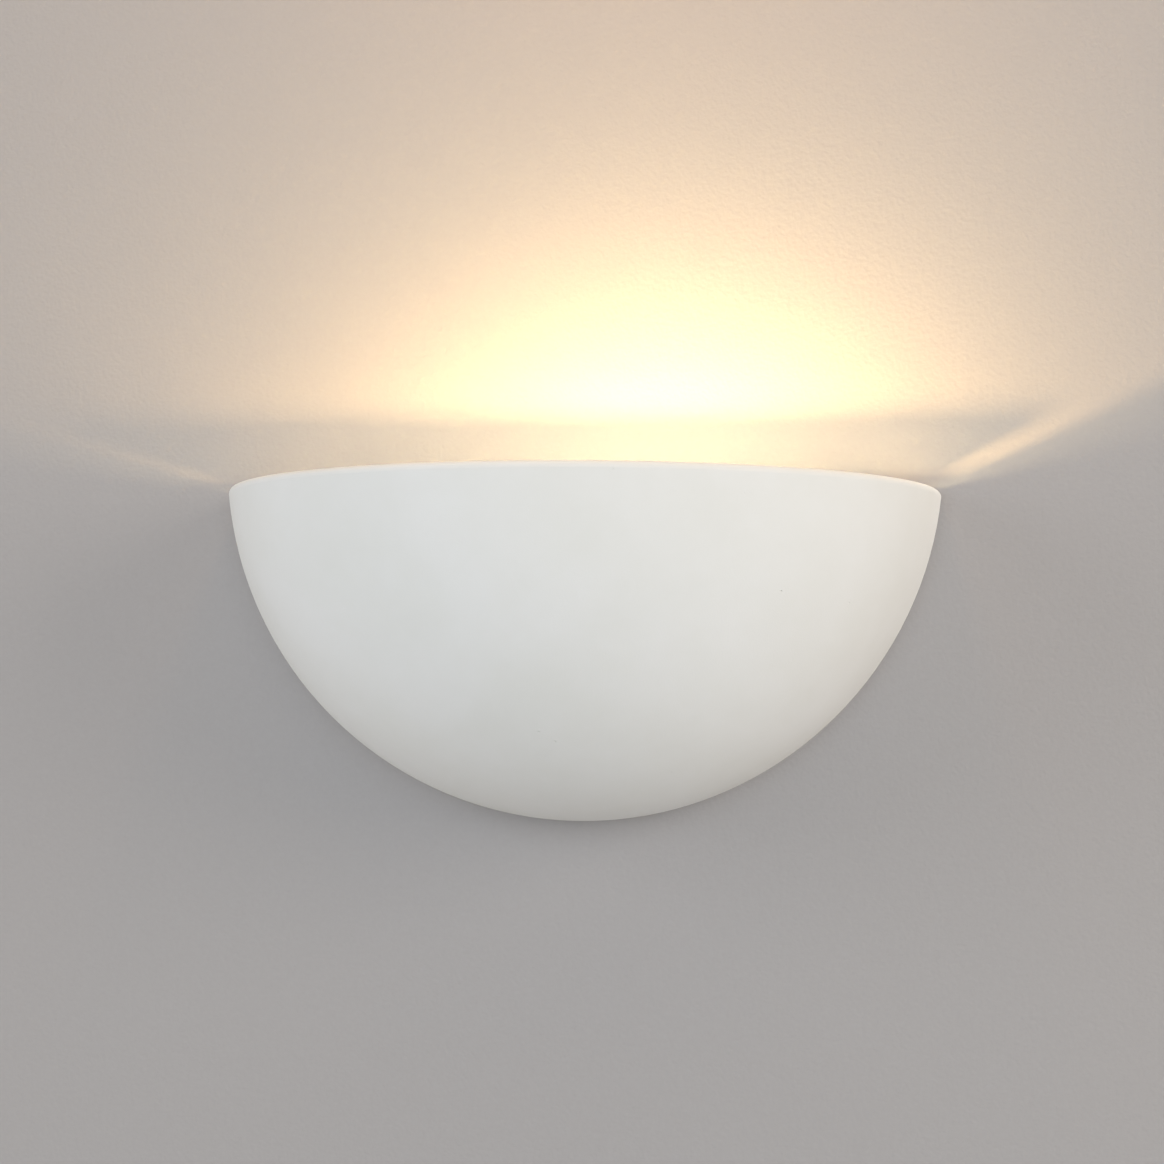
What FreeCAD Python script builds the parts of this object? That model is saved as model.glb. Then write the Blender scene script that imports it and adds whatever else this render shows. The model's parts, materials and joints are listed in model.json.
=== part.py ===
"""Uplighter wall sconce: a half-bowl plaster shade on a folded steel wall bracket, with a small lampholder.

Frame: the wall is the plane Y = 0, the front faces -Y, +X is right and +Z is up.
The origin is the middle of the two wall screw slots, on the wall. All lengths are in millimetres.
"""
import FreeCAD, Part
import math
import os
import re

import PartDesign
import Sketcher
from FreeCAD import Vector

SIZES = {
    # Plaster shade
    "rim_width": 320,
    "shell_height": 146.8,
    "rim_depth": 140,
    "rim_rise": 22,
    "shell_wall": 8,
    "rim_round": 2.8,
    "back_rib_width": 18,
    "back_rib_depth": 8,
    "lug_height": 24,
    "lug_depth": 10,
    "lug_gap": 3,
    "lug_inset": 14,
    "cast_round": 1.5,
    "stud_hole_slack": 0.6,
    # Wall bracket, folded from sheet
    "sheet": 1.5,
    "bend_radius": 1,
    "bracket_drop": 65,
    "shelf_depth": 25,
    "shelf_web": 11,
    "shelf_gap": 2.4,
    "lower_fold_depth": 12,
    "ear_height": 22,
    "ear_reach": 11,
    "ear_neck": 13,
    "wall_screw_spacing": 120,
    "slot_width": 5,
    "slot_length": 12,
    "thread_slack": 0.05,
    # Studs, washers and thumb nuts that hold the shade
    "stud_inset": 52,
    "stud_diameter": 5,
    "stud_length": 31,
    "collar_diameter": 9,
    "collar_depth": 1,
    "fibre_washer_diameter": 16,
    "fibre_washer_depth": 1.5,
    "steel_washer_diameter": 13,
    "steel_washer_depth": 1,
    "knob_diameter": 18,
    "knob_depth": 6,
    "knob_collar_diameter": 11,
    "knob_collar_depth": 3,
    "knurl_count": 30,
    "knurl_depth": 0.45,
    # Cable entry
    "cable_drop": 46,
    "cable_bore": 9,
    "bush_spigot_diameter": 14,
    "bush_flange_diameter": 19,
    "bush_flange_depth": 2.4,
    # Lamp and lampholder: distances along the lamp are counted from the bulb's tip
    "lamp_standoff": 61,
    "lamp_drop": 31,
    "globe_diameter": 45,
    "bulb_length": 78,
    "glass_wall": 0.8,
    "neck_diameter": 15.6,
    "cap_length": 25,
    "cap_diameter": 13.9,
    "cap_thread_depth": 0.6,
    "cap_thread_pitch": 2.82,
    "cap_flare_diameter": 17,
    "cap_sheet": 0.4,
    "cap_shell_start": 6,
    "tip_diameter": 4.8,
    "tip_height": 1.5,
    "stem_flare_diameter": 12,
    "stem_diameter": 4.5,
    "filament_span": 16,
    "filament_shoulder": 12,
    "filament_diameter": 1,
    "support_diameter": 0.7,
    "holder_diameter": 28,
    "holder_depth": 24,
    "holder_wall": 1.8,
    "holder_joint": 6,
    "holder_mouth": 22.5,
    "sleeve_clearance": 0.35,
    "sleeve_sheet": 0.4,
    "sleeve_bore_slack": 0.2,
    "sleeve_length": 20,
    "core_front": 1.6,
    "core_depth": 7,
    "contact_gap": 0.2,
    "contact_sheet": 0.4,
    "contact_width": 4,
    "terminal_diameter": 4.4,
    "terminal_height": 4,
    "terminal_offset": 5.2,
    "terminal_seat": 3,
    "rib_count": 24,
    "rib_depth": 0.5,
    "nipple_diameter": 10,
    "nipple_bore": 8,
    "nipple_engagement": 6,
    "lock_nut_across_flats": 14,
    "lock_nut_depth": 3,
    "nipple_proud": 3,
    "arm_width": 28,
    "arm_inset": 62.5,
    "foot_length": 20,
    "foot_screw_spacing": 16,
    "foot_screw_diameter": 4,
    "foot_screw_head_diameter": 7.6,
    "foot_screw_head_depth": 2.4,
    # Terminal block
    "block_inset": 32,
    "block_drop": 44,
    "pole_pitch": 10,
    "block_length": 17,
    "block_base_depth": 3,
    "block_round": 1,
    "barrel_diameter": 6.4,
    "barrel_height": 6,
    "chimney_diameter": 5.4,
    "chimney_height": 12.5,
    "clamp_diameter": 4.2,
    "clamp_bore": 2.8,
    "clamp_length": 15,
    "clamp_screw_spacing": 8.4,
    "clamp_screw_diameter": 2.5,
    "clamp_screw_length": 4.2,
    "clamp_screw_head_diameter": 3.4,
    "clamp_screw_head_depth": 1,
    "block_screw_diameter": 2.5,
    "block_screw_head_diameter": 3.6,
    "block_screw_head_depth": 1.6,
    # Earthing
    "earth_drop": 8,
    "earth_stud_diameter": 4,
    "earth_stud_length": 12,
    "tag_sheet": 0.8,
    "tag_diameter": 8,
    "tag_barrel_diameter": 3.8,
    "tag_barrel_length": 6,
    "tag_reach": 10,
    "tag_grip": 4.2,
    "earth_washer_diameter": 9,
    "earth_washer_depth": 0.8,
    "earth_nut_across_flats": 7,
    "earth_nut_depth": 3.2,
    # Leads
    "lead_diameter": 1.8,
    "lead_spacing": 3.6,
    "lead_top": 20,
    "lead_sweep": 5,
    "lead_insert": 2,
    "terminal_grip": 3.5,
    "fit_gap": 0.1,
}

# Lengths that follow from the sizes above. Each is an expression in them and in earlier lines here.
DERIVED = {
    # The front outline is one circle through both rim ends and the bottom; its centre is above the rim.
    "shell_radius": "(rim_width^2/4+shell_height^2)/(2*shell_height)",
    "centre_rise": "shell_radius-shell_height",
    "centre_height": "rim_rise+centre_rise",
    "shell_depth": "rim_depth*shell_radius/(rim_width/2)",
    "window_radius": "shell_radius-back_rib_width",
    "seat_radius": "shell_radius-shell_wall/2",
    "half_stud_spacing": "rim_width/2-stud_inset",
    "bracket_width": "2*(half_stud_spacing-ear_neck)",
    "stud_radius": "stud_diameter/2",
    "ear_end": "half_stud_spacing+ear_reach",
    # The shelf is as wide as the window in the shade's rib lets it be.
    "shelf_end": "sqrt(window_radius^2-(centre_rise+shelf_web)^2)-shelf_gap",
    "lug_front": "lug_gap+lug_depth",
    "fibre_front": "lug_front+fibre_washer_depth",
    "washer_front": "fibre_front+steel_washer_depth",
    "globe_radius": "globe_diameter/2",
    "globe_centre": "bulb_length-globe_radius",
    # The terminal block stands beside the left stud, and the lamp arm beside the block.
    "block_offset": "half_stud_spacing-block_inset",
    "arm_face": "arm_inset-half_stud_spacing",
    "tip_x": "arm_face+holder_depth",
    "holder_radius": "holder_diameter/2",
    "cap_radius": "cap_diameter/2",
    "thread_root": "cap_radius-cap_thread_depth",
    "sleeve_inner": "cap_radius+sleeve_clearance",
    "sleeve_outer": "sleeve_inner+sleeve_sheet",
    "holder_bore": "sleeve_outer+sleeve_bore_slack",
    "core_radius": "holder_radius-holder_wall-fit_gap",
    "core_back": "core_front+core_depth",
    "terminal_back": "core_back+terminal_height",
    "nipple_radius": "nipple_diameter/2",
    "nipple_start": "holder_depth-nipple_engagement",
    "nipple_end": "holder_depth+sheet+lock_nut_depth+nipple_proud",
    "arm_end": "lamp_standoff+arm_width/2",
    "foot_screw_x": "arm_face+foot_length/2",
    "neck_start": "cap_length-cap_sheet",
    "flare_start": "cap_length-cap_flare_diameter/4",
    "stem_end": "globe_centre-0.75*filament_span",
    "earth_x": "block_offset+pole_pitch",
}

document = FreeCAD.newDocument("uplighter_wall_sconce")
sheet = document.addObject("Spreadsheet::Sheet", "Sizes")
for row, (alias, number) in enumerate(SIZES.items(), start=1):
    sheet.set(f"A{row}", alias.replace("_", " "))
    sheet.set(f"B{row}", str(number))
    sheet.setAlias(f"B{row}", alias)
document.recompute()

sub_parts = {}


def formula(text):
    """Write the named sizes in a formula as spreadsheet cells."""
    def cell(match):
        word = match.group(0)
        if word in DERIVED:
            return f"({formula(DERIVED[word])})"
        return f"Sizes.{word}" if word in SIZES else word
    return re.sub(r"[a-z][a-z_]*", cell, text)


def value(text):
    """The present number of a formula."""
    return float(sheet.evalExpression(formula(text)))


# ---------------------------------------------------------------------------------------------
# Helpers for bodies, sketches and features


def start_body(name, x="0", y="0", z="0"):
    """Start a sub-part whose own origin sits at x, y, z."""
    body = document.addObject("PartDesign::Body", name)
    body.Label = name
    for axis, place in zip("xyz", (x, y, z)):
        body.setExpression(f"Placement.Base.{axis}", formula(place))
    sub_parts[name] = body
    return body


def origin_feature(body, role):
    return next(item for item in body.Origin.OriginFeatures if item.Role == role)


def start_sketch(body, plane, height="0"):
    """A sketch on one of the body's own planes, or at a height in front of it."""
    sketch = body.newObject("Sketcher::SketchObject", "Sketch")
    sketch.AttachmentSupport = [(origin_feature(body, plane), "")]
    sketch.MapMode = "FlatFace"
    sketch.setExpression("AttachmentOffset.Base.z", formula(height))
    return sketch


def hold_point(sketch, index, point, x, y):
    """Tie one point of the sketch to two formulas, measured from the sketch's origin."""
    for kind, text in (("DistanceX", x), ("DistanceY", y)):
        number = sketch.addConstraint(Sketcher.Constraint(kind, -1, 1, index, point, value(text)))
        sketch.setExpression(f"Constraints[{number}]", formula(text))


def add_outline(sketch, corners):
    """A closed outline; each corner is (x, y), or (x, y, centre x, centre y) where an arc leads to it."""
    first = sketch.GeometryCount
    count = len(corners)
    ends = []
    for number, corner in enumerate(corners):
        start, stop = corners[number - 1], corner
        a = Vector(value(start[0]), value(start[1]), 0)
        b = Vector(value(stop[0]), value(stop[1]), 0)
        if len(corner) == 2:
            sketch.addGeometry(Part.LineSegment(a, b), False)
            ends.append((1, 2))
            continue
        centre = Vector(value(corner[2]), value(corner[3]), 0)
        turn = (a - centre).cross(b - centre).z
        low, high = (a, b) if turn > 0 else (b, a)
        circle = Part.Circle(centre, Vector(0, 0, 1), (a - centre).Length)
        arc = Part.ArcOfCircle(circle, circle.parameter(low), circle.parameter(high))
        sketch.addGeometry(arc, False)
        ends.append((1, 2) if turn > 0 else (2, 1))
    for number, corner in enumerate(corners):
        index = first + number
        following = (number + 1) % count
        start_end = ends[following][0]
        sketch.addConstraint(Sketcher.Constraint(
            "Coincident", index, ends[number][1], first + following, start_end))
        hold_point(sketch, index, ends[number][1], corner[0], corner[1])
        if len(corner) == 4:
            hold_arc(sketch, index, corners[number - 1], corner)
    return sketch


def hold_arc(sketch, index, start, corner):
    """Tie the one free coordinate of an arc's centre."""
    across = abs(value(corner[0]) - value(start[0]))
    along = abs(value(corner[1]) - value(start[1]))
    kind, text = ("DistanceY", corner[3]) if across > along else ("DistanceX", corner[2])
    number = sketch.addConstraint(Sketcher.Constraint(kind, -1, 1, index, 3, value(text)))
    sketch.setExpression(f"Constraints[{number}]", formula(text))


def add_circle(sketch, x, y, radius):
    circle = Part.Circle(Vector(value(x), value(y), 0), Vector(0, 0, 1), value(radius))
    index = sketch.addGeometry(circle, False)
    hold_point(sketch, index, 3, x, y)
    number = sketch.addConstraint(Sketcher.Constraint("Radius", index, value(radius)))
    sketch.setExpression(f"Constraints[{number}]", formula(radius))
    return sketch


def rectangle(x_low, y_low, x_high, y_high):
    return [(x_low, y_low), (x_high, y_low), (x_high, y_high), (x_low, y_high)]


def outline_sketch(body, plane, corners, height="0"):
    return add_outline(start_sketch(body, plane, height), corners)


def pad(body, sketch, length, symmetric=False, back=False):
    feature = body.newObject("PartDesign::Pad", "Pad")
    feature.Profile = sketch
    feature.SideType = "Symmetric" if symmetric else "One side"
    feature.Reversed = back
    feature.setExpression("Length", formula(length))
    return finish_feature(body, feature, grows=True)


def cut_through(body, sketch):
    """Cut a sketch through everything, both ways."""
    feature = body.newObject("PartDesign::Pocket", "Pocket")
    feature.Profile = sketch
    feature.Type = "ThroughAll"
    feature.SideType = "Symmetric"
    return finish_feature(body, feature, grows=False)


def cut(body, sketch, depth, forward=False):
    """Cut a sketch to a depth, against its plane's normal or along it."""
    feature = body.newObject("PartDesign::Pocket", "Pocket")
    feature.Profile = sketch
    feature.Reversed = forward
    feature.setExpression("Length", formula(depth))
    return finish_feature(body, feature, grows=False)


def revolve(body, sketch, axis):
    feature = body.newObject("PartDesign::Revolution", "Revolution")
    feature.Profile = sketch
    feature.ReferenceAxis = (sketch, [axis])
    feature.Angle = 360
    return finish_feature(body, feature, grows=True)


def finish_feature(body, feature, grows):
    """Recompute a feature and make sure that it added or removed material."""
    before = feature.BaseFeature.Shape.Volume if feature.BaseFeature else 0
    document.recompute()
    change = feature.Shape.Volume - before
    if (change > 0) != grows:
        raise RuntimeError(f"{body.Name}: {feature.Name} changed the volume by {change:.3f}")
    return feature


def round_edges(body, radius, wanted):
    """Fillet the edges of the body's last feature that the test picks."""
    base = body.Tip
    names = [f"Edge{n}" for n, edge in enumerate(base.Shape.Edges, start=1) if wanted(edge)]
    if not names:
        raise RuntimeError(f"{body.Name}: no edge to round")
    feature = body.newObject("PartDesign::Fillet", "Fillet")
    feature.Base = (base, names)
    feature.setExpression("Radius", formula(radius))
    document.recompute()
    if feature.Shape.isNull() or not feature.Shape.isValid():
        raise RuntimeError(f"{body.Name}: {feature.Name} failed")
    return feature


def polar_pattern(body, original, axis, count):
    feature = body.newObject("PartDesign::PolarPattern", "PolarPattern")
    feature.Originals = [original]
    feature.Axis = (origin_feature(body, axis), [""])
    feature.Angle = 360
    feature.setExpression("Occurrences", formula(count))
    body.Tip = feature
    document.recompute()
    return feature


def row_of_copies(body, axis, length, count):
    """Repeat the whole body along one of its axes; each copy is a solid of its own."""
    feature = body.newObject("PartDesign::LinearPattern", "LinearPattern")
    feature.TransformMode = "Whole shape"
    feature.Direction = (origin_feature(body, axis), [""])
    feature.setExpression("Length", formula(length))
    feature.Occurrences = count
    body.Tip = feature
    document.recompute()
    return feature


def turned_piece(name, corners, axis, x="0", y="0", z="0"):
    """A sub-part turned from one closed profile about its own X or Y axis."""
    body = start_body(name, x, y, z)
    revolve(body, outline_sketch(body, "XY_Plane", corners), axis)
    return body


def is_near(point, x=None, y=None, z=None, within=0.05):
    wanted = zip((point.x, point.y, point.z), (x, y, z))
    return all(goal is None or abs(have - goal) < within for have, goal in wanted)


def hexagon(across_flats):
    """Corners of a hexagon with two flats level."""
    corner = f"{across_flats}/sqrt(3)"
    half_corner = f"{across_flats}/sqrt(12)"
    flat = f"{across_flats}/2"
    return [
        (corner, "0"), (half_corner, flat), (f"-{half_corner}", flat),
        (f"-{corner}", "0"), (f"-{half_corner}", f"-{flat}"), (half_corner, f"-{flat}"),
    ]


ALONG_X = "H_Axis"
ALONG_Y = "V_Axis"


# ---------------------------------------------------------------------------------------------
# Plaster shade


def add_ellipsoid(body, kind, radius, depth):
    """A round body whose front outline is a circle and whose depth off the wall differs."""
    feature = body.newObject(f"PartDesign::{kind}Ellipsoid", "Ellipsoid")
    for name, text in (("Radius1", radius), ("Radius2", radius), ("Radius3", depth)):
        feature.setExpression(name, formula(text))
    feature.Angle1 = -90
    feature.Angle2 = 90
    feature.Angle3 = 360
    feature.setExpression("Placement.Base.z", formula("centre_height"))
    return finish_feature(body, feature, grows=kind == "Additive")


def make_shade():
    """The cast half bowl: open top, a flat rib against the wall and two lugs for the studs."""
    body = start_body("shade")
    add_ellipsoid(body, "Additive", "shell_radius", "shell_depth")
    behind_wall = rectangle("-2*shell_radius", "-2*shell_radius", "2*shell_radius", "4*shell_radius")
    cut(body, outline_sketch(body, "XZ_Plane", behind_wall), "2*shell_depth")
    add_ellipsoid(body, "Subtractive", "shell_radius-shell_wall", "shell_depth-shell_wall")
    rib = start_sketch(body, "XZ_Plane")
    add_circle(rib, "0", "centre_height", "seat_radius")
    add_circle(rib, "0", "centre_height", "window_radius")
    pad(body, rib, "back_rib_depth")
    for side in ("", "-"):
        lug = outline_sketch(body, "XZ_Plane", lug_outline(side), "lug_gap")
        pad(body, lug, "lug_depth")
    above_rim = rectangle("-2*shell_depth", "rim_rise", "shell_depth", "rim_rise+2*shell_radius")
    cut_through(body, outline_sketch(body, "YZ_Plane", above_rim))
    holes = start_sketch(body, "XZ_Plane", "lug_front")
    for side in ("", "-"):
        add_circle(holes, f"{side}half_stud_spacing", "0", "stud_radius+stud_hole_slack")
    cut(body, holes, "lug_front")
    round_castings(body)
    rim = value("rim_rise")
    round_edges(body, "rim_round", lambda edge: all(is_near(v.Point, z=rim) for v in edge.Vertexes)
                and not is_near(edge.CenterOfMass, y=0))


def round_castings(body):
    """Soften the free edges of each lug's front and of the rib, as a mould leaves them."""
    front = -value("lug_front")
    rib = -value("back_rib_depth")
    inner_end = value("half_stud_spacing-lug_inset") - 0.1
    round_edges(body, "cast_round", lambda edge: is_near(edge.CenterOfMass, y=front)
                and edge.Curve.TypeId == "Part::GeomLine" and abs(edge.CenterOfMass.x) > inner_end)
    round_edges(body, "cast_round", lambda edge: is_near(edge.CenterOfMass, x=0, y=rib))


def lug_outline(side):
    """A lug reaches from beside the stud into the middle of the shade's wall."""
    def wall_at(height):
        return f"{side}sqrt(seat_radius^2-(centre_height{height})^2)"
    inner = f"{side}(half_stud_spacing-lug_inset)"
    return [
        (inner, "-lug_height/2"),
        (wall_at("+lug_height/2"), "-lug_height/2"),
        (wall_at("-lug_height/2"), "lug_height/2", "0", "centre_height"),
        (inner, "lug_height/2"),
    ]


# ---------------------------------------------------------------------------------------------
# Wall bracket


def make_wall_bracket():
    """One folded sheet: a web on the wall, a wide shelf on top, a short fold below and two ears.

    The shelf keeps the bulb's direct light off the wall behind the shade.
    """
    body = start_body("wall_bracket")
    web = outline_sketch(body, "YZ_Plane", [
        ("0", "-bracket_drop"), ("0", "rim_rise-sheet"), ("-sheet", "rim_rise-sheet"),
        ("-sheet", "sheet-bracket_drop"), ("-lower_fold_depth", "sheet-bracket_drop"),
        ("-lower_fold_depth", "-bracket_drop"),
    ])
    pad(body, web, "bracket_width", symmetric=True)
    shelf = outline_sketch(body, "YZ_Plane", [
        ("0", "rim_rise-shelf_web"), ("0", "rim_rise"), ("-shelf_depth", "rim_rise"),
        ("-shelf_depth", "rim_rise-sheet"), ("-sheet", "rim_rise-sheet"), ("-sheet", "rim_rise-shelf_web"),
    ])
    pad(body, shelf, "2*shelf_end", symmetric=True)
    round_bends(body)
    ears = outline_sketch(body, "XZ_Plane", rectangle(
        "-ear_end", "-ear_height/2", "ear_end", "rim_rise-shelf_web+sheet"))
    pad(body, ears, "sheet")
    cut_through(body, bracket_holes(body))
    for radius, end in (("ear_height/3", "ear_end"), ("shelf_web/3", "shelf_end")):
        round_ends(body, radius, value(end))


def round_ends(body, radius, end):
    """Round the corners of the sheet at one distance to either side of the middle."""
    steel = value("sheet")
    round_edges(body, radius, lambda edge: edge.Curve.TypeId == "Part::GeomLine"
                and edge.Length < steel + 0.01
                and all(abs(abs(vertex.X) - end) < 0.01 for vertex in edge.Vertexes))


def round_bends(body):
    """Bends are round: the outer radius is the inner one plus the sheet."""
    width = value("bracket_width")
    top = value("rim_rise")
    bottom = -value("bracket_drop")
    steel = value("sheet")
    for inset, radius in ((0, "bend_radius+sheet"), (steel, "bend_radius")):
        round_edges(body, radius, lambda edge: edge.Length > width - 0.01 and (
            is_near(edge.CenterOfMass, y=-inset, z=top - inset)
            or is_near(edge.CenterOfMass, y=-inset, z=bottom + inset)))


def bracket_holes(body):
    """Wall screw slots and every round hole in the web."""
    sketch = start_sketch(body, "XZ_Plane")
    for side in ("", "-"):
        centre = f"{side}wall_screw_spacing/2"
        reach = "(slot_length-slot_width)/2"
        low, high = f"{centre}-{reach}", f"{centre}+{reach}"
        add_slot(sketch, low, high, "slot_width/2")
        add_circle(sketch, f"{side}half_stud_spacing", "0", "stud_radius+thread_slack")
        add_circle(sketch, "foot_screw_x", f"-lamp_drop{side or '+'}foot_screw_spacing/2",
                   "foot_screw_diameter/2+thread_slack")
        add_circle(sketch, f"-block_offset{side or '+'}pole_pitch/2", "-block_drop",
                   "block_screw_diameter/2+thread_slack")
    add_circle(sketch, "0", "-cable_drop", "bush_spigot_diameter/2")
    add_circle(sketch, "-earth_x", "-earth_drop", "earth_stud_diameter/2+thread_slack")
    return sketch


def add_slot(sketch, low, high, radius):
    """A level slot with round ends, each end a half circle in two quarters."""
    add_outline(sketch, [
        (low, f"-{radius}", low, "0"), (high, f"-{radius}"),
        (f"{high}+{radius}", "0", high, "0"), (high, radius, high, "0"),
        (low, radius), (f"{low}-{radius}", "0", low, "0"),
    ])


def make_cable_bush():
    """Rubber bush that lines the hole where the house cable comes through the web."""
    turned_piece("cable_entry_bush", [
        ("cable_bore/2", "0"), ("bush_spigot_diameter/2", "0"), ("bush_spigot_diameter/2", "-sheet"),
        ("bush_flange_diameter/2", "-sheet"), ("bush_flange_diameter/2", "-sheet-bush_flange_depth/2"),
        ("bush_flange_diameter/2-bush_flange_depth/2", "-sheet-bush_flange_depth"),
        ("cable_bore/2+bush_flange_depth/2", "-sheet-bush_flange_depth"),
        ("cable_bore/2", "-sheet-bush_flange_depth/2"),
    ], ALONG_Y, z="-cable_drop")


# ---------------------------------------------------------------------------------------------
# Studs, washers and thumb nuts that hold the shade


def make_shade_fixing(hand, side):
    """One stud with its washers and thumb nut; side is the sign of its X."""
    x = f"{side}half_stud_spacing"
    turned_piece(f"shade_stud_{hand}", [
        ("0", "0"), ("stud_radius", "0"), ("stud_radius", "-sheet"), ("collar_diameter/2", "-sheet"),
        ("collar_diameter/2", "-sheet-collar_depth"), ("stud_radius", "-sheet-collar_depth"),
        ("stud_radius", "-stud_length+stud_radius/4"), ("3*stud_radius/4", "-stud_length"),
        ("0", "-stud_length"),
    ], ALONG_Y, x=x)
    washer(f"fibre_washer_{hand}", "stud_radius+stud_hole_slack", "fibre_washer_diameter/2",
           "lug_front", "fibre_washer_depth", x)
    washer(f"steel_washer_{hand}", "stud_radius+thread_slack", "steel_washer_diameter/2",
           "fibre_front", "steel_washer_depth", x)
    make_thumb_nut(f"thumb_nut_{hand}", x)


def washer(name, bore, radius, front, depth, x, z="0"):
    """A flat ring in front of the wall."""
    turned_piece(name, [
        (bore, f"-({front})"), (radius, f"-({front})"),
        (radius, f"-({front})-{depth}"), (bore, f"-({front})-{depth}"),
    ], ALONG_Y, x=x, z=z)


def make_thumb_nut(name, x):
    """A knurled head with a smooth collar on its washer side."""
    body = turned_piece(name, [
        ("stud_radius+thread_slack", "0"), ("knob_collar_diameter/2", "0"),
        ("knob_collar_diameter/2", "-knob_collar_depth"), ("knob_diameter/2", "-knob_collar_depth"),
        ("knob_diameter/2", "-knob_collar_depth-knob_depth"),
        ("stud_radius+thread_slack", "-knob_collar_depth-knob_depth"),
    ], ALONG_Y, x=x, y="-washer_front")
    rim = value("knob_diameter/2")
    round_edges(body, "knurl_depth", lambda edge: edge.Curve.TypeId == "Part::GeomCircle"
                and abs(edge.Curve.Radius - rim) < 0.01)
    groove = start_sketch(body, "XZ_Plane", "knob_collar_depth")
    add_circle(groove, "knob_diameter/2+knurl_depth/2", "0", "1.5*knurl_depth")
    notch = cut(body, groove, "knob_depth", forward=True)
    polar_pattern(body, notch, "Y_Axis", "knurl_count")


# ---------------------------------------------------------------------------------------------
# Lamp arm and lampholder. Their own X runs along the lamp, from the bulb's tip.

LAMP_PLACE = {"x": "tip_x", "y": "-lamp_standoff", "z": "-lamp_drop"}


def make_lamp_arm():
    """The angle bracket that stands off the web and carries the lampholder at its end."""
    body = start_body("lamp_arm", x="arm_face", z="-lamp_drop")
    angle = outline_sketch(body, "XY_Plane", [
        ("-sheet", "-sheet"), ("foot_length", "-sheet"), ("foot_length", "-2*sheet"), ("0", "-2*sheet"),
        ("0", "-arm_end"), ("-sheet", "-arm_end"),
    ])
    pad(body, angle, "arm_width", symmetric=True)
    nipple_hole = start_sketch(body, "YZ_Plane")
    add_circle(nipple_hole, "-lamp_standoff", "0", "nipple_radius+thread_slack")
    cut_through(body, nipple_hole)
    foot_holes = start_sketch(body, "XZ_Plane")
    for side in ("", "-"):
        add_circle(foot_holes, "foot_length/2", f"{side}foot_screw_spacing/2",
                   "foot_screw_diameter/2+thread_slack")
    cut_through(body, foot_holes)
    tip = value("arm_end")
    steel = value("sheet")
    round_edges(body, "arm_width/3", lambda edge: edge.Length < steel + 0.01
                and is_near(edge.CenterOfMass, y=-tip))
    round_edges(body, "bend_radius+sheet", lambda edge: is_near(edge.CenterOfMass, x=-steel, y=-steel))


def make_foot_screws():
    """Two pan-head screws that hold the arm's foot to the web."""
    body = screw("lamp_arm_screws", "foot_screw_diameter/2", "foot_screw_head_diameter/2",
                 "foot_screw_head_depth", "2*sheet", "2*sheet",
                 x="foot_screw_x", z="-lamp_drop-foot_screw_spacing/2")
    row_of_copies(body, "Z_Axis", "foot_screw_spacing", 2)


def screw(name, radius, head_radius, head_depth, length, seat, x="0", y="0", z="0"):
    """A slotted screw driven towards the wall; seat is how far its head's underside is in front."""
    body = turned_piece(name, [
        ("0", f"-({seat})+{length}"), (radius, f"-({seat})+{length}"), (radius, f"-({seat})"),
        (head_radius, f"-({seat})"), (head_radius, f"-({seat})-{head_depth}/2"),
        (f"{head_radius}-{head_depth}/2", f"-({seat})-{head_depth}"), ("0", f"-({seat})-{head_depth}"),
    ], ALONG_Y, x=x, y=y, z=z)
    slot = outline_sketch(body, "XZ_Plane", rectangle(
        f"-{head_radius}", f"-{head_radius}/7", head_radius, f"{head_radius}/7"), f"{seat}+{head_depth}")
    cut(body, slot, f"{head_depth}/2")
    return body


def make_nipple():
    """Hollow threaded tube that joins the lampholder to the arm; the leads run through it."""
    turned_piece("threaded_nipple", [
        ("-nipple_start", "nipple_bore/2"), ("-nipple_start", "nipple_radius"),
        ("-nipple_end", "nipple_radius"), ("-nipple_end", "nipple_bore/2"),
    ], ALONG_X, **LAMP_PLACE)
    nut = start_body("lock_nut", **LAMP_PLACE)
    ring = outline_sketch(nut, "YZ_Plane", hexagon("lock_nut_across_flats"),
                          "-holder_depth-sheet-lock_nut_depth")
    add_circle(ring, "0", "0", "nipple_radius+thread_slack")
    pad(nut, ring, "lock_nut_depth")


def make_lampholder():
    """Rear cap, skirt, insulating core, threaded sleeve, centre contact and lead terminals."""
    turned_piece("lampholder_rear_cap", [
        ("-holder_depth", "nipple_radius+thread_slack"), ("-holder_depth", "holder_radius-holder_wall*3"),
        ("-holder_depth+holder_wall*2", "holder_radius-holder_wall/2"),
        ("-holder_depth+holder_wall*3", "holder_radius"), ("-holder_joint", "holder_radius"),
        ("-holder_joint", "holder_radius-holder_wall"), ("-nipple_start", "holder_radius-holder_wall"),
        ("-nipple_start", "nipple_radius+thread_slack"),
    ], ALONG_X, **LAMP_PLACE)
    make_skirt()
    make_core()
    turned_piece("threaded_sleeve", [
        ("-core_front", "sleeve_inner-3*sleeve_sheet"), ("-core_front", "sleeve_outer"),
        ("sleeve_length-core_front", "sleeve_outer"), ("sleeve_length-core_front", "sleeve_inner"),
        ("-core_front+sleeve_sheet", "sleeve_inner"),
        ("-core_front+sleeve_sheet", "sleeve_inner-3*sleeve_sheet"),
    ], ALONG_X, **LAMP_PLACE)
    make_centre_contact()
    make_lead_terminals()


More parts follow.
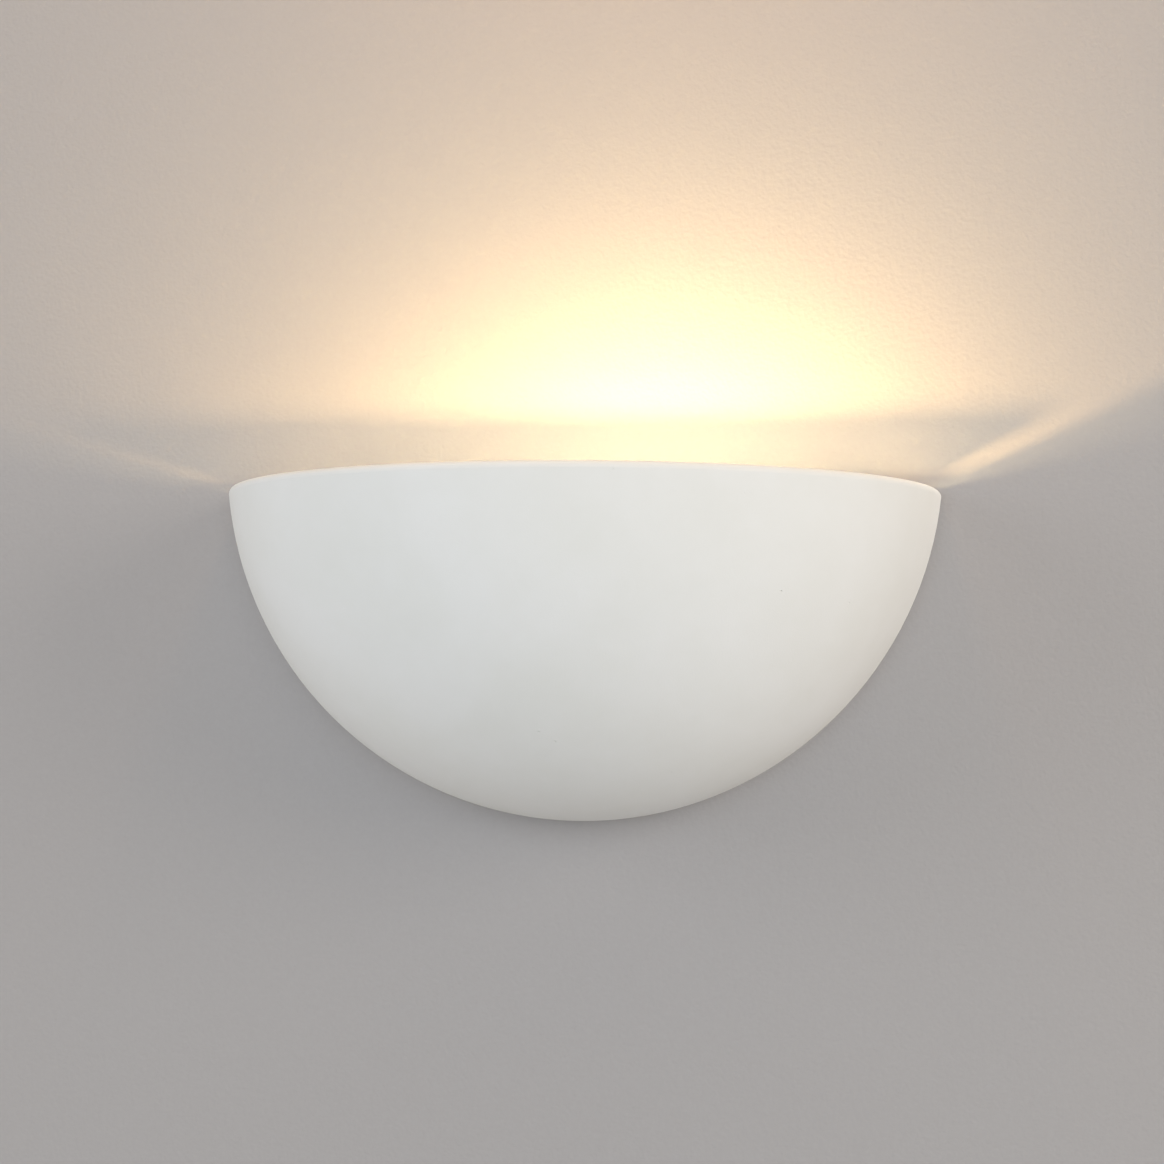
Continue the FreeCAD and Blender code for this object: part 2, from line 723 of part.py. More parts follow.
def make_skirt():
    """The front shell round the sleeve, with a moulded grip ring beside the joint."""
    body = turned_piece("lampholder_skirt", [
        ("-holder_joint", "holder_radius-holder_wall"), ("-holder_joint", "holder_radius"),
        ("holder_wall", "holder_radius"), ("2*holder_wall", "holder_radius-holder_wall/2"),
        ("holder_mouth", "holder_radius-holder_wall"),
        ("holder_mouth", "cap_flare_diameter/2+sleeve_clearance"),
        ("holder_mouth-2*holder_wall", "holder_bore"), ("-core_front", "holder_bore"),
        ("-core_front", "holder_radius-holder_wall"),
    ], ALONG_X, **LAMP_PLACE)
    groove = start_sketch(body, "YZ_Plane", "-holder_joint")
    add_circle(groove, "holder_radius+rib_depth/2", "0", "rib_depth")
    notch = cut(body, groove, "holder_joint-holder_wall", forward=True)
    polar_pattern(body, notch, "X_Axis", "rib_count")


def make_core():
    """Insulating core between the rear cap and the skirt, bored for the two terminals."""
    body = turned_piece("lampholder_core", [
        ("-core_back", "0"), ("-core_back", "core_radius"),
        ("-core_front", "core_radius"), ("-core_front", "0"),
    ], ALONG_X, **LAMP_PLACE)
    pockets = start_sketch(body, "YZ_Plane", "-core_back")
    for side in ("", "-"):
        add_circle(pockets, "0", f"{side}terminal_offset", "terminal_diameter/2+fit_gap/2")
    cut(body, pockets, "terminal_seat", forward=True)


def make_centre_contact():
    """Bowed brass tongue under the bulb's tip."""
    body = start_body("centre_contact", **LAMP_PLACE)
    reach = "(sleeve_inner-4*sleeve_sheet)"
    crown = "(tip_diameter/2)"
    strip = outline_sketch(body, "XY_Plane", [
        ("-core_front", f"-{reach}"), ("-contact_gap-contact_sheet", f"-{crown}"),
        ("-contact_gap-contact_sheet", crown), ("-core_front", reach), ("contact_sheet-core_front", reach),
        ("-contact_gap", crown), ("-contact_gap", f"-{crown}"), ("contact_sheet-core_front", f"-{reach}"),
    ])
    pad(body, strip, "contact_width", symmetric=True)


def make_lead_terminals():
    """Two brass posts in the back of the core; each takes one lead."""
    body = start_body("lead_terminals", x="tip_x", y="-lamp_standoff", z="-lamp_drop-terminal_offset")
    post = start_sketch(body, "YZ_Plane", "-terminal_back")
    add_circle(post, "0", "0", "terminal_diameter/2")
    add_circle(post, "0", "0", "lead_diameter/2+fit_gap/2")
    pad(body, post, "terminal_height+terminal_seat")
    row_of_copies(body, "Z_Axis", "2*terminal_offset", 2)


# ---------------------------------------------------------------------------------------------
# Bulb


def globe_profile(inset):
    """Neck and globe as one line: the cone from the neck meets the globe without a kink."""
    globe = f"(globe_radius-{inset})"
    neck = f"(neck_diameter/2-{inset})"
    run = "(globe_centre-neck_start)"
    reach = f"sqrt({run}^2+{neck}^2)"
    angle = f"(180 deg-atan({neck}/{run})-acos({globe}/{reach}))"
    return neck, globe, angle


def make_bulb_glass():
    """Clear globe, open at the neck where the stem closes it."""
    body = start_body("bulb_glass", **LAMP_PLACE)
    for inset, kind in (("0", "Revolution"), ("glass_wall", "Groove")):
        neck, globe, angle = globe_profile(inset)
        meet = (f"globe_centre+{globe}*cos({angle})", f"{globe}*sin({angle})")
        profile = outline_sketch(body, "XY_Plane", [
            ("neck_start", "0"), ("neck_start", neck), meet,
            ("globe_centre", globe, "globe_centre", "0"),
            (f"globe_centre+{globe}", "0", "globe_centre", "0"),
        ])
        feature = body.newObject(f"PartDesign::{kind}", kind)
        feature.Profile = profile
        feature.ReferenceAxis = (profile, [ALONG_X])
        feature.Angle = 360
        finish_feature(body, feature, grows=kind == "Revolution")


def make_bulb_cap():
    """Threaded metal cap with a flared rim, its black insulator and the solder tip."""
    body = turned_piece("bulb_cap", [
        ("cap_shell_start", "thread_root-2*cap_sheet"), ("cap_shell_start", "thread_root"),
        ("flare_start", "thread_root"), ("cap_length", "cap_flare_diameter/2"),
        ("cap_length", "cap_flare_diameter/2-cap_sheet"), ("flare_start", "thread_root-cap_sheet"),
        ("cap_shell_start+cap_sheet", "thread_root-cap_sheet"),
        ("cap_shell_start+cap_sheet", "thread_root-2*cap_sheet"),
    ], ALONG_X, **LAMP_PLACE)
    first = "(cap_shell_start+cap_thread_pitch/2)"
    ridge = outline_sketch(body, "XY_Plane", [
        (f"{first}-cap_thread_pitch/3", "thread_root-cap_sheet/2"),
        (f"{first}-cap_thread_pitch/3", "thread_root"),
        (f"{first}-cap_thread_pitch/8", "cap_radius"), (f"{first}+cap_thread_pitch/8", "cap_radius"),
        (f"{first}+cap_thread_pitch/3", "thread_root"),
        (f"{first}+cap_thread_pitch/3", "thread_root-cap_sheet/2"),
    ])
    turn = revolve(body, ridge, ALONG_X)
    turns = body.newObject("PartDesign::LinearPattern", "LinearPattern")
    turns.Originals = [turn]
    turns.Direction = (origin_feature(body, "X_Axis"), [""])
    turns.setExpression("Length", formula("3*cap_thread_pitch"))
    turns.Occurrences = 4
    body.Tip = turns
    document.recompute()
    turned_piece("bulb_insulator", [
        ("tip_height", "0"), ("tip_height", "tip_diameter/2+cap_sheet"),
        ("cap_shell_start", "thread_root"), ("cap_shell_start", "thread_root-2*cap_sheet"),
        ("cap_shell_start+2*cap_sheet", "thread_root-2*cap_sheet"), ("cap_shell_start+2*cap_sheet", "0"),
    ], ALONG_X, **LAMP_PLACE)
    turned_piece("bulb_tip", [
        ("0", "0"), ("0", "tip_diameter/4"), ("tip_height/2", "tip_diameter/2"),
        ("tip_height", "tip_diameter/2"), ("tip_height", "0"),
    ], ALONG_X, **LAMP_PLACE)


def make_filament_mount():
    """Glass stem that closes the neck, two support wires and the filament across their ends."""
    turned_piece("bulb_stem", [
        ("neck_start", "0"), ("neck_start", "neck_diameter/2-glass_wall"),
        ("neck_start+glass_wall", "neck_diameter/2-glass_wall"),
        ("neck_start+3*glass_wall", "stem_diameter/2"),
        ("stem_end-glass_wall", "stem_diameter/2"), ("stem_end", "stem_diameter/2-glass_wall"),
        ("stem_end", "0"),
    ], ALONG_X, **LAMP_PLACE)
    start, stop = value("stem_end"), value("globe_centre")
    bend = (stop - start) / 4
    reach = value("filament_span/2")
    supports = []
    for side in (1, -1):
        foot, end = side * value("stem_diameter/4"), side * reach
        supports.append(tube([
            Vector(start, 0, foot), Vector(start + bend, 0, foot),
            Vector(stop - bend, 0, end), Vector(stop, 0, end),
        ], value("support_diameter")))
    add_tubes("filament_supports", supports, lamp_origin())
    ends = value("globe_centre+filament_diameter/4")
    crest = ends + reach / 2
    shoulder = value("filament_shoulder/2")
    add_tubes("filament", [tube([
        Vector(ends, 0, -reach), Vector(crest, 0, -shoulder),
        Vector(crest, 0, shoulder), Vector(ends, 0, reach),
    ], value("filament_diameter"))], lamp_origin())


# ---------------------------------------------------------------------------------------------
# Terminal block and earthing, on the left of the web


def make_terminal_block():
    """Three-pole block: a base, a barrel for each pole and a chimney over each clamp screw."""
    body = start_body("terminal_block", x="-block_offset", y="-sheet", z="-block_drop")
    base = rectangle("-1.6*pole_pitch", "-block_length/2", "1.6*pole_pitch", "block_length/2")
    pad(body, outline_sketch(body, "XZ_Plane", base), "block_base_depth")
    end = value("1.6*pole_pitch")
    edge_z = value("block_length/2")
    round_edges(body, "block_round", lambda edge: abs(abs(edge.CenterOfMass.x) - end) < 0.01
                and abs(abs(edge.CenterOfMass.z) - edge_z) < 0.01)
    poles = ("-pole_pitch", "0", "pole_pitch")
    radius = "barrel_diameter/2"
    for pole in poles:
        barrel = outline_sketch(body, "XY_Plane", [
            (f"{pole}-{radius}", "-block_base_depth/2"), (f"{pole}+{radius}", "-block_base_depth/2"),
            (f"{pole}+{radius}", "-barrel_height"),
            (pole, f"-barrel_height-{radius}", pole, "-barrel_height"),
            (f"{pole}-{radius}", "-barrel_height", pole, "-barrel_height"),
        ])
        pad(body, barrel, "block_length", symmetric=True)
    chimneys = start_sketch(body, "XZ_Plane")
    wells = start_sketch(body, "XZ_Plane", "chimney_height")
    bores = start_sketch(body, "XY_Plane")
    for pole in poles:
        add_circle(bores, pole, "-barrel_height", "clamp_diameter/2+fit_gap/2")
        for side in ("", "-"):
            add_circle(chimneys, pole, f"{side}clamp_screw_spacing/2", "chimney_diameter/2")
            add_circle(wells, pole, f"{side}clamp_screw_spacing/2", "clamp_screw_head_diameter/2+fit_gap")
    pad(body, chimneys, "chimney_height")
    cut_through(body, bores)
    cut(body, wells, "chimney_height-barrel_height")
    heads = start_sketch(body, "XZ_Plane", "chimney_height")
    shanks = start_sketch(body, "XZ_Plane")
    for side in ("", "-"):
        add_circle(heads, f"{side}pole_pitch/2", "0", "block_screw_head_diameter/2+fit_gap")
        add_circle(shanks, f"{side}pole_pitch/2", "0", "block_screw_diameter/2+thread_slack")
    cut(body, heads, "chimney_height-block_base_depth")
    cut_through(body, shanks)


def make_block_metal():
    """Brass clamps, their screws, and the two screws that hold the block to the web."""
    first = {"x": "-block_offset-pole_pitch", "y": "-sheet", "z": "-block_drop"}
    clamps = start_body("terminal_clamps", **first)
    ring = start_sketch(clamps, "XY_Plane")
    add_circle(ring, "0", "-barrel_height", "clamp_diameter/2")
    add_circle(ring, "0", "-barrel_height", "clamp_bore/2")
    pad(clamps, ring, "clamp_length", symmetric=True)
    taps = start_sketch(clamps, "XZ_Plane", "barrel_height+clamp_diameter/2")
    for side in ("", "-"):
        add_circle(taps, "0", f"{side}clamp_screw_spacing/2", "clamp_screw_diameter/2+thread_slack")
    cut(clamps, taps, "clamp_diameter/2")
    row_of_copies(clamps, "X_Axis", "2*pole_pitch", 3)
    tip = "barrel_height+lead_diameter/2+fit_gap"
    screws = screw("clamp_screws", "clamp_screw_diameter/2", "clamp_screw_head_diameter/2",
                   "clamp_screw_head_depth", "clamp_screw_length", f"{tip}+clamp_screw_length",
                   x=first["x"], y=first["y"], z="-block_drop-clamp_screw_spacing/2")
    row_of_copies(screws, "Z_Axis", "clamp_screw_spacing", 2)
    row_of_copies(screws, "X_Axis", "2*pole_pitch", 3)
    holders = screw("terminal_block_screws", "block_screw_diameter/2", "block_screw_head_diameter/2",
                    "block_screw_head_depth", "block_base_depth+sheet", "block_base_depth",
                    x="-block_offset-pole_pitch/2", y="-sheet", z="-block_drop")
    row_of_copies(holders, "X_Axis", "pole_pitch", 2)


def make_earthing():
    """Earth stud with its ring tag, spring washer and nut."""
    turned_piece("earth_stud", [
        ("0", "0"), ("earth_stud_diameter/2", "0"), ("earth_stud_diameter/2", "-0.95*earth_stud_length"),
        ("0.4*earth_stud_diameter", "-earth_stud_length"), ("0", "-earth_stud_length"),
    ], ALONG_Y, x="-earth_x", z="-earth_drop")
    tag = start_body("earth_tag", x="-earth_x", z="-earth_drop")
    ring = start_sketch(tag, "XZ_Plane", "sheet")
    add_circle(ring, "0", "0", "tag_diameter/2")
    pad(tag, ring, "tag_sheet")
    neck = rectangle("-tag_barrel_diameter/3", "-tag_reach-tag_sheet",
                     "tag_barrel_diameter/3", "-tag_diameter/4")
    pad(tag, outline_sketch(tag, "XZ_Plane", neck, "sheet"), "tag_sheet")
    barrel = start_sketch(tag, "XY_Plane", "-tag_reach-tag_barrel_length")
    add_circle(barrel, "0", "-sheet-tag_barrel_diameter/2", "tag_barrel_diameter/2")
    pad(tag, barrel, "tag_barrel_length")
    bore = start_sketch(tag, "XY_Plane", "-tag_reach-tag_barrel_length")
    add_circle(bore, "0", "-sheet-tag_barrel_diameter/2", "lead_diameter/2+fit_gap/2")
    cut(tag, bore, "tag_barrel_length+2*tag_sheet", forward=True)
    stud_hole = start_sketch(tag, "XZ_Plane")
    add_circle(stud_hole, "0", "0", "earth_stud_diameter/2+thread_slack")
    cut_through(tag, stud_hole)
    washer("earth_washer", "earth_stud_diameter/2+thread_slack", "earth_washer_diameter/2",
           "sheet+tag_sheet", "earth_washer_depth", "-earth_x", "-earth_drop")
    nut = start_body("earth_nut", x="-earth_x", y="-sheet-tag_sheet-earth_washer_depth", z="-earth_drop")
    flats = outline_sketch(nut, "XZ_Plane", hexagon("earth_nut_across_flats"))
    add_circle(flats, "0", "0", "earth_stud_diameter/2+thread_slack")
    pad(nut, flats, "earth_nut_depth")


# ---------------------------------------------------------------------------------------------
# Leads and other bent wire


BEND_SHARE = 0.45
SMALLEST_BEND = 3


def tube(points, diameter):
    """A round wire along straight runs; each bend is a tangent arc over a share of its shorter run."""
    edges = []
    here = points[0]
    for before, corner, after in zip(points, points[1:], points[2:]):
        back = (before - corner).normalize()
        ahead = (after - corner).normalize()
        reach = BEND_SHARE * min((before - corner).Length, (after - corner).Length)
        turn = math.pi - back.getAngle(ahead)
        radius = reach / math.tan(turn / 2)
        enter, leave = corner + back * reach, corner + ahead * reach
        inward = (back + ahead).normalize()
        crown = corner + inward * (radius / math.cos(turn / 2) - radius)
        edges.append(Part.LineSegment(here, enter).toShape())
        edges.append(Part.Arc(enter, crown, leave).toShape())
        here = leave
        if radius < SMALLEST_BEND * diameter / 2:
            raise RuntimeError(f"a bend of radius {radius:.2f} is too tight for a wire of {diameter}")
    edges.append(Part.LineSegment(here, points[-1]).toShape())
    path = Part.Wire(edges)
    circle = Part.Circle(points[0], points[1] - points[0], diameter / 2).toShape()
    solid = path.makePipeShell([Part.Wire([circle])], True, False)
    expected = path.Length * math.pi * diameter ** 2 / 4
    if abs(solid.Volume / expected - 1) > 0.01:
        raise RuntimeError(f"a wire's volume is {solid.Volume:.2f}, not {expected:.2f}")
    return solid


def lamp_origin():
    return Vector(value("tip_x"), -value("lamp_standoff"), -value("lamp_drop"))


def add_tubes(name, tubes, place=Vector()):
    """A sub-part of one or more bent wires."""
    feature = document.addObject("Part::Feature", name)
    feature.Label = name
    feature.Shape = tubes[0] if len(tubes) == 1 else Part.Compound(tubes)
    feature.Placement.Base = place
    sub_parts[name] = feature


def make_lamp_lead(name, pole, side):
    """From its clamp up and forward to the nipple, through it, and out to its own terminal."""
    clamp_y = -value("sheet+barrel_height")
    lamp = lamp_origin()
    near = side * value("lead_spacing/2")
    wide = side * value("terminal_offset")
    add_tubes(name, [tube([
        Vector(value(pole), clamp_y, value("lead_insert-block_drop")),
        Vector(value(pole), clamp_y, -value("lead_top")),
        Vector(value(f"{pole}+lead_sweep"), lamp.y, lamp.z + near),
        Vector(value("tip_x-nipple_start-fit_gap"), lamp.y, lamp.z + near),
        Vector(value("tip_x-terminal_back-1.3*lead_diameter"), lamp.y, lamp.z + wide),
        Vector(value("tip_x-terminal_back+terminal_grip"), lamp.y, lamp.z + wide),
    ], value("lead_diameter"))])


def make_leads():
    make_lamp_lead("live_lead", "-block_offset+pole_pitch", 1)
    make_lamp_lead("neutral_lead", "-block_offset", -1)
    x = -value("earth_x")
    clamp_y = -value("sheet+barrel_height")
    tag_y = -value("sheet+tag_barrel_diameter/2")
    barrel_end = -value("earth_drop+tag_reach+tag_barrel_length")
    block_top = value("block_length/2-block_drop")
    step = (barrel_end - block_top) / 4
    add_tubes("earth_lead", [tube([
        Vector(x, tag_y, barrel_end + value("tag_grip")),
        Vector(x, tag_y, barrel_end - step), Vector(x, clamp_y, block_top + step),
        Vector(x, clamp_y, value("lead_insert-block_drop")),
    ], value("lead_diameter"))])


# ---------------------------------------------------------------------------------------------
# Make every sub-part, test it and write it out


def check_document():
    for item in document.Objects:
        if "Invalid" in item.State or "Error" in item.State:
            raise RuntimeError(f"{item.Name} failed: {item.State}")
    for name, item in sub_parts.items():
        if item.Shape.isNull() or not item.Shape.isValid() or not item.Shape.Solids:
            raise RuntimeError(f"{name} has no valid solid")


for build in (
    make_shade, make_wall_bracket, make_cable_bush, make_lamp_arm, make_foot_screws, make_nipple,
    make_lampholder, make_bulb_glass, make_bulb_cap, make_filament_mount, make_terminal_block,
    make_block_metal, make_earthing, make_leads,
):
    build()
for hand, side in (("left", "-"), ("right", "")):
    make_shade_fixing(hand, side)
document.recompute()
check_document()
os.makedirs("parts", exist_ok=True)
for name, item in sub_parts.items():
    item.Shape.exportStep(f"parts/{name}.step")
    box = item.Shape.optimalBoundingBox(True, False)
    print(f"{name:22} {item.Shape.Volume:9.1f} mm3 {len(item.Shape.Solids)} solid(s)"
          f"  X {box.XMin:7.2f} {box.XMax:7.2f}  Y {box.YMin:7.2f} {box.YMax:6.2f}"
          f"  Z {box.ZMin:7.2f} {box.ZMax:7.2f}")
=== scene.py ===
# %% [markdown]
# # Uplighter wall sconce
#
# The real light is a half bowl of cast plaster that stands against a wall. It is open at the top,
# and a small clear bulb inside throws its light up the wall. Behind the plaster are a folded steel
# bracket, two studs with thumb nuts, a terminal block, and a lampholder on an arm.
#
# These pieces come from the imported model, with the right shape and in the right place. This file
# gives each one its finish and remakes the few whose form is finer than a plain solid: the screw
# threads, the coiled filament. Then it adds a wall, a floor, lamps and the camera.

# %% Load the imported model
import json
import math

import bpy
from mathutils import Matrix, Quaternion, Vector


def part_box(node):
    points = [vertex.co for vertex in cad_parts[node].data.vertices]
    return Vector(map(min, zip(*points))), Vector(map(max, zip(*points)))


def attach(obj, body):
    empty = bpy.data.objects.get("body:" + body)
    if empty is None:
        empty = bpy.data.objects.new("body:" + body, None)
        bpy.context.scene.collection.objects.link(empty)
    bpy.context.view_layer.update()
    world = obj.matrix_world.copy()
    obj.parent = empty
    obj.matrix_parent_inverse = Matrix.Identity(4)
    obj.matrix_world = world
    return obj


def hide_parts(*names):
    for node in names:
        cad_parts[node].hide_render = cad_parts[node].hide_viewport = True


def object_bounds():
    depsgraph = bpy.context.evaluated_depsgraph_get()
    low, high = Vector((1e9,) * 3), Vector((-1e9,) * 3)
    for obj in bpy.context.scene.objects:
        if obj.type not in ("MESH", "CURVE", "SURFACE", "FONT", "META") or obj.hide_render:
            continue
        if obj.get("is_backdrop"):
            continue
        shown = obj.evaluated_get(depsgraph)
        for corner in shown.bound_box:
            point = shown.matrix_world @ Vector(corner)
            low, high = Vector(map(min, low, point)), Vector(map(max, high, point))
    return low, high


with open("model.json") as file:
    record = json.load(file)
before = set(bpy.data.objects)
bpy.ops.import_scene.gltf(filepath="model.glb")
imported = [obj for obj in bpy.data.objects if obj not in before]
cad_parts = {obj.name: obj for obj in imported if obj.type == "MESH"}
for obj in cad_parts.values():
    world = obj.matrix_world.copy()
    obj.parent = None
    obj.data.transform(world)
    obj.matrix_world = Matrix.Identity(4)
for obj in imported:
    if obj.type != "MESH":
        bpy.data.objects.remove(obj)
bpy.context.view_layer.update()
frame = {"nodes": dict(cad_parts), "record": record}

MM = 0.001

# %% [markdown]
# ## Camera
#
# The viewer stands a little over a metre from the wall, to the right of the light and slightly
# below it, so the bowl hides everything inside it. The camera is turned towards the light and not
# shifted. Its place comes from the outline of the bowl: the rim looks like a shallow arch, and how
# high that arch is says how far below the rim the eye is.

# %% Camera
EYE = Vector((206.0, -1100.0, -85.6)) * MM
YAW = math.radians(-10.61)
PITCH = math.radians(3.46)
ROLL = math.radians(0.59)
SENSOR = 36.0
LENS = 77.2


def make_camera():
    """A camera at the eye, turned by yaw and pitch, then rolled about its own axis."""
    data = bpy.data.cameras.new("camera")
    data.sensor_width = SENSOR
    data.lens = LENS
    data.clip_start, data.clip_end = 0.01, 50.0
    camera = bpy.data.objects.new("camera", data)
    forward = Vector((
        math.sin(YAW) * math.cos(PITCH), math.cos(YAW) * math.cos(PITCH), math.sin(PITCH),
    ))
    camera.location = EYE
    camera.rotation_mode = "QUATERNION"
    turn = forward.to_track_quat("-Z", "Y")
    camera.rotation_quaternion = turn @ Quaternion((0, 0, 1), ROLL)
    bpy.context.collection.objects.link(camera)
    bpy.context.scene.camera = camera
    return camera


make_camera()
print("camera at", [round(v, 3) for v in EYE], "m")

# %% [markdown]
# ## Colours and nodes
#
# A colour on a paint card is a display colour, while a shader works with linear light. One helper
# changes the first into the second. Two more keep the node trees short: one adds a node with its
# values, the other starts a material with the values that are the same all over the surface.

# %% Helpers for colours and nodes


def linear(red, green, blue):
    """The linear colour of a display colour given in steps from 0 to 255."""
    def channel(step):
        level = step / 255
        return level / 12.92 if level <= 0.04045 else ((level + 0.055) / 1.055) ** 2.4
    return (channel(red), channel(green), channel(blue), 1.0)


def add_node(tree, kind, values=None, **settings):
    """Add a node, set its options, and set its unlinked inputs by name."""
    node = tree.nodes.new(kind)
    for option, setting in settings.items():
        setattr(node, option, setting)
    for name, number in (values or {}).items():
        node.inputs[name].default_value = number
    return node


def start_finish(name, colour, roughness, **values):
    """A material whose Principled shader holds the values that don't change over the surface."""
    material = bpy.data.materials.new(name)
    material.use_nodes = True
    shader = material.node_tree.nodes["Principled BSDF"]
    shader.inputs["Base Color"].default_value = colour
    shader.inputs["Roughness"].default_value = roughness
    for socket, number in values.items():
        shader.inputs[socket.replace("_", " ")].default_value = number
    return material, material.node_tree, shader


# %% [markdown]
# ## Shared effects
#
# Real surfaces are never one flat colour. Three effects come back in most of the finishes, so each
# is a node group with its own inputs: a mottle that drifts between two colours, a grain that gives
# a height for the bump, and small pits such as air bubbles leave in a casting.

# %% Node groups


def start_group(name, inputs, outputs):
    """An empty shader group; inputs are (name, kind, value) and outputs (name, kind)."""
    group = bpy.data.node_groups.new(name, "ShaderNodeTree")
    for label, kind, start in inputs:
        socket = group.interface.new_socket(label, in_out="INPUT", socket_type=kind)
        socket.default_value = start
    for label, kind in outputs:
        group.interface.new_socket(label, in_out="OUTPUT", socket_type=kind)
    entry = group.nodes.new("NodeGroupInput")
    leave = group.nodes.new("NodeGroupOutput")
    return group, entry, leave


def make_mottle():
    """Drifts between two colours in soft patches; Spread is how strongly."""
    group, entry, leave = start_group("mottle", [
        ("Colour", "NodeSocketColor", (0.8, 0.8, 0.8, 1)),
        ("Other Colour", "NodeSocketColor", (0.7, 0.7, 0.7, 1)),
        ("Scale", "NodeSocketFloat", 20.0),
        ("Spread", "NodeSocketFloat", 0.5),
    ], [("Colour", "NodeSocketColor"), ("Mask", "NodeSocketFloat")])
    place = add_node(group, "ShaderNodeTexCoord")
    noise = add_node(group, "ShaderNodeTexNoise", {"Detail": 5.0, "Roughness": 0.62})
    steep = add_node(group, "ShaderNodeMapRange", {"From Min": 0.32, "From Max": 0.68})
    share = add_node(group, "ShaderNodeMath", operation="MULTIPLY", use_clamp=True)
    mix = add_node(group, "ShaderNodeMix", data_type="RGBA")
    link = group.links.new
    link(place.outputs["Object"], noise.inputs["Vector"])
    link(entry.outputs["Scale"], noise.inputs["Scale"])
    link(noise.outputs["Fac"], steep.inputs["Value"])
    link(steep.outputs["Result"], share.inputs[0])
    link(entry.outputs["Spread"], share.inputs[1])
    link(share.outputs[0], mix.inputs["Factor"])
    link(entry.outputs["Colour"], mix.inputs["A"])
    link(entry.outputs["Other Colour"], mix.inputs["B"])
    link(mix.outputs["Result"], leave.inputs["Colour"])
    link(share.outputs[0], leave.inputs["Mask"])
    return group


def make_grain():
    """Height of a fine grain over a broad unevenness; Broad is the share of the latter."""
    group, entry, leave = start_group("grain", [
        ("Fine Scale", "NodeSocketFloat", 900.0),
        ("Broad Scale", "NodeSocketFloat", 30.0),
        ("Broad", "NodeSocketFloat", 0.5),
    ], [("Height", "NodeSocketFloat")])
    place = add_node(group, "ShaderNodeTexCoord")
    fine = add_node(group, "ShaderNodeTexNoise", {"Detail": 3.0, "Roughness": 0.55})
    broad = add_node(group, "ShaderNodeTexNoise", {"Detail": 1.0, "Roughness": 0.4})
    share = add_node(group, "ShaderNodeMath", operation="MULTIPLY")
    total = add_node(group, "ShaderNodeMath", operation="ADD")
    link = group.links.new
    link(place.outputs["Object"], fine.inputs["Vector"])
    link(place.outputs["Object"], broad.inputs["Vector"])
    link(entry.outputs["Fine Scale"], fine.inputs["Scale"])
    link(entry.outputs["Broad Scale"], broad.inputs["Scale"])
    link(broad.outputs["Fac"], share.inputs[0])
    link(entry.outputs["Broad"], share.inputs[1])
    link(fine.outputs["Fac"], total.inputs[0])
    link(share.outputs[0], total.inputs[1])
    link(total.outputs[0], leave.inputs["Height"])
    return group


def make_pits():
    """Mask of small round pits; only the cells over the threshold Rare have one."""
    group, entry, leave = start_group("pits", [
        ("Scale", "NodeSocketFloat", 150.0),
        ("Radius", "NodeSocketFloat", 0.12),
        ("Rare", "NodeSocketFloat", 0.8),
    ], [("Mask", "NodeSocketFloat")])
    place = add_node(group, "ShaderNodeTexCoord")
    cells = add_node(group, "ShaderNodeTexVoronoi")
    bowl = add_node(group, "ShaderNodeMapRange", {"From Min": 0.0, "To Min": 1.0, "To Max": 0.0})
    dice = add_node(group, "ShaderNodeSeparateColor")
    chosen = add_node(group, "ShaderNodeMath", operation="GREATER_THAN")
    mask = add_node(group, "ShaderNodeMath", operation="MULTIPLY")
    link = group.links.new
    link(place.outputs["Object"], cells.inputs["Vector"])
    link(entry.outputs["Scale"], cells.inputs["Scale"])
    link(cells.outputs["Distance"], bowl.inputs["Value"])
    link(entry.outputs["Radius"], bowl.inputs["From Max"])
    link(cells.outputs["Color"], dice.inputs["Color"])
    link(dice.outputs["Red"], chosen.inputs[0])
    link(entry.outputs["Rare"], chosen.inputs[1])
    link(bowl.outputs["Result"], mask.inputs[0])
    link(chosen.outputs[0], mask.inputs[1])
    link(mask.outputs[0], leave.inputs["Mask"])
    return group


MOTTLE, GRAIN, PITS = make_mottle(), make_grain(), make_pits()
print("shared effects:", MOTTLE.name, GRAIN.name, PITS.name)

# %% Helpers that put an effect into a finish


def mottle(tree, shader, colour, other, scale, spread):
    """Let the base colour drift between two near colours."""
    node = add_node(tree, "ShaderNodeGroup", {
        "Colour": colour, "Other Colour": other, "Scale": scale, "Spread": spread,
    }, node_tree=MOTTLE)
    tree.links.new(node.outputs["Colour"], shader.inputs["Base Color"])
    return node


def grain_bump(tree, shader, fine, broad, share, depth, before=None):
    """Roughen the surface with the grain; depth is in metres."""
    node = add_node(tree, "ShaderNodeGroup", {
        "Fine Scale": fine, "Broad Scale": broad, "Broad": share,
    }, node_tree=GRAIN)
    bump = add_node(tree, "ShaderNodeBump", {"Strength": 1.0, "Distance": depth})
    tree.links.new(node.outputs["Height"], bump.inputs["Height"])
    if before:
        tree.links.new(before.outputs["Normal"], bump.inputs["Normal"])
    tree.links.new(bump.outputs["Normal"], shader.inputs["Normal"])
    return bump


def uneven_gloss(tree, shader, mask, low, high):
    """Let the roughness follow a mask between two values."""
    levels = add_node(tree, "ShaderNodeMapRange", {"To Min": low, "To Max": high})
    tree.links.new(mask, levels.inputs["Value"])
    tree.links.new(levels.outputs["Result"], shader.inputs["Roughness"])


# %% [markdown]
# ## Plaster
#
# The bowl is cast in a mould and rubbed down by hand. It is dead matt and nearly white, with a
# slightly warmer cloud here and there. Close up it has a powdery grain, a few pinholes from air
# bubbles, and a very gentle unevenness that only a raking light shows. The grain and the pinholes
# are far smaller than any mesh, so they belong in the material.

# %% Plaster finish


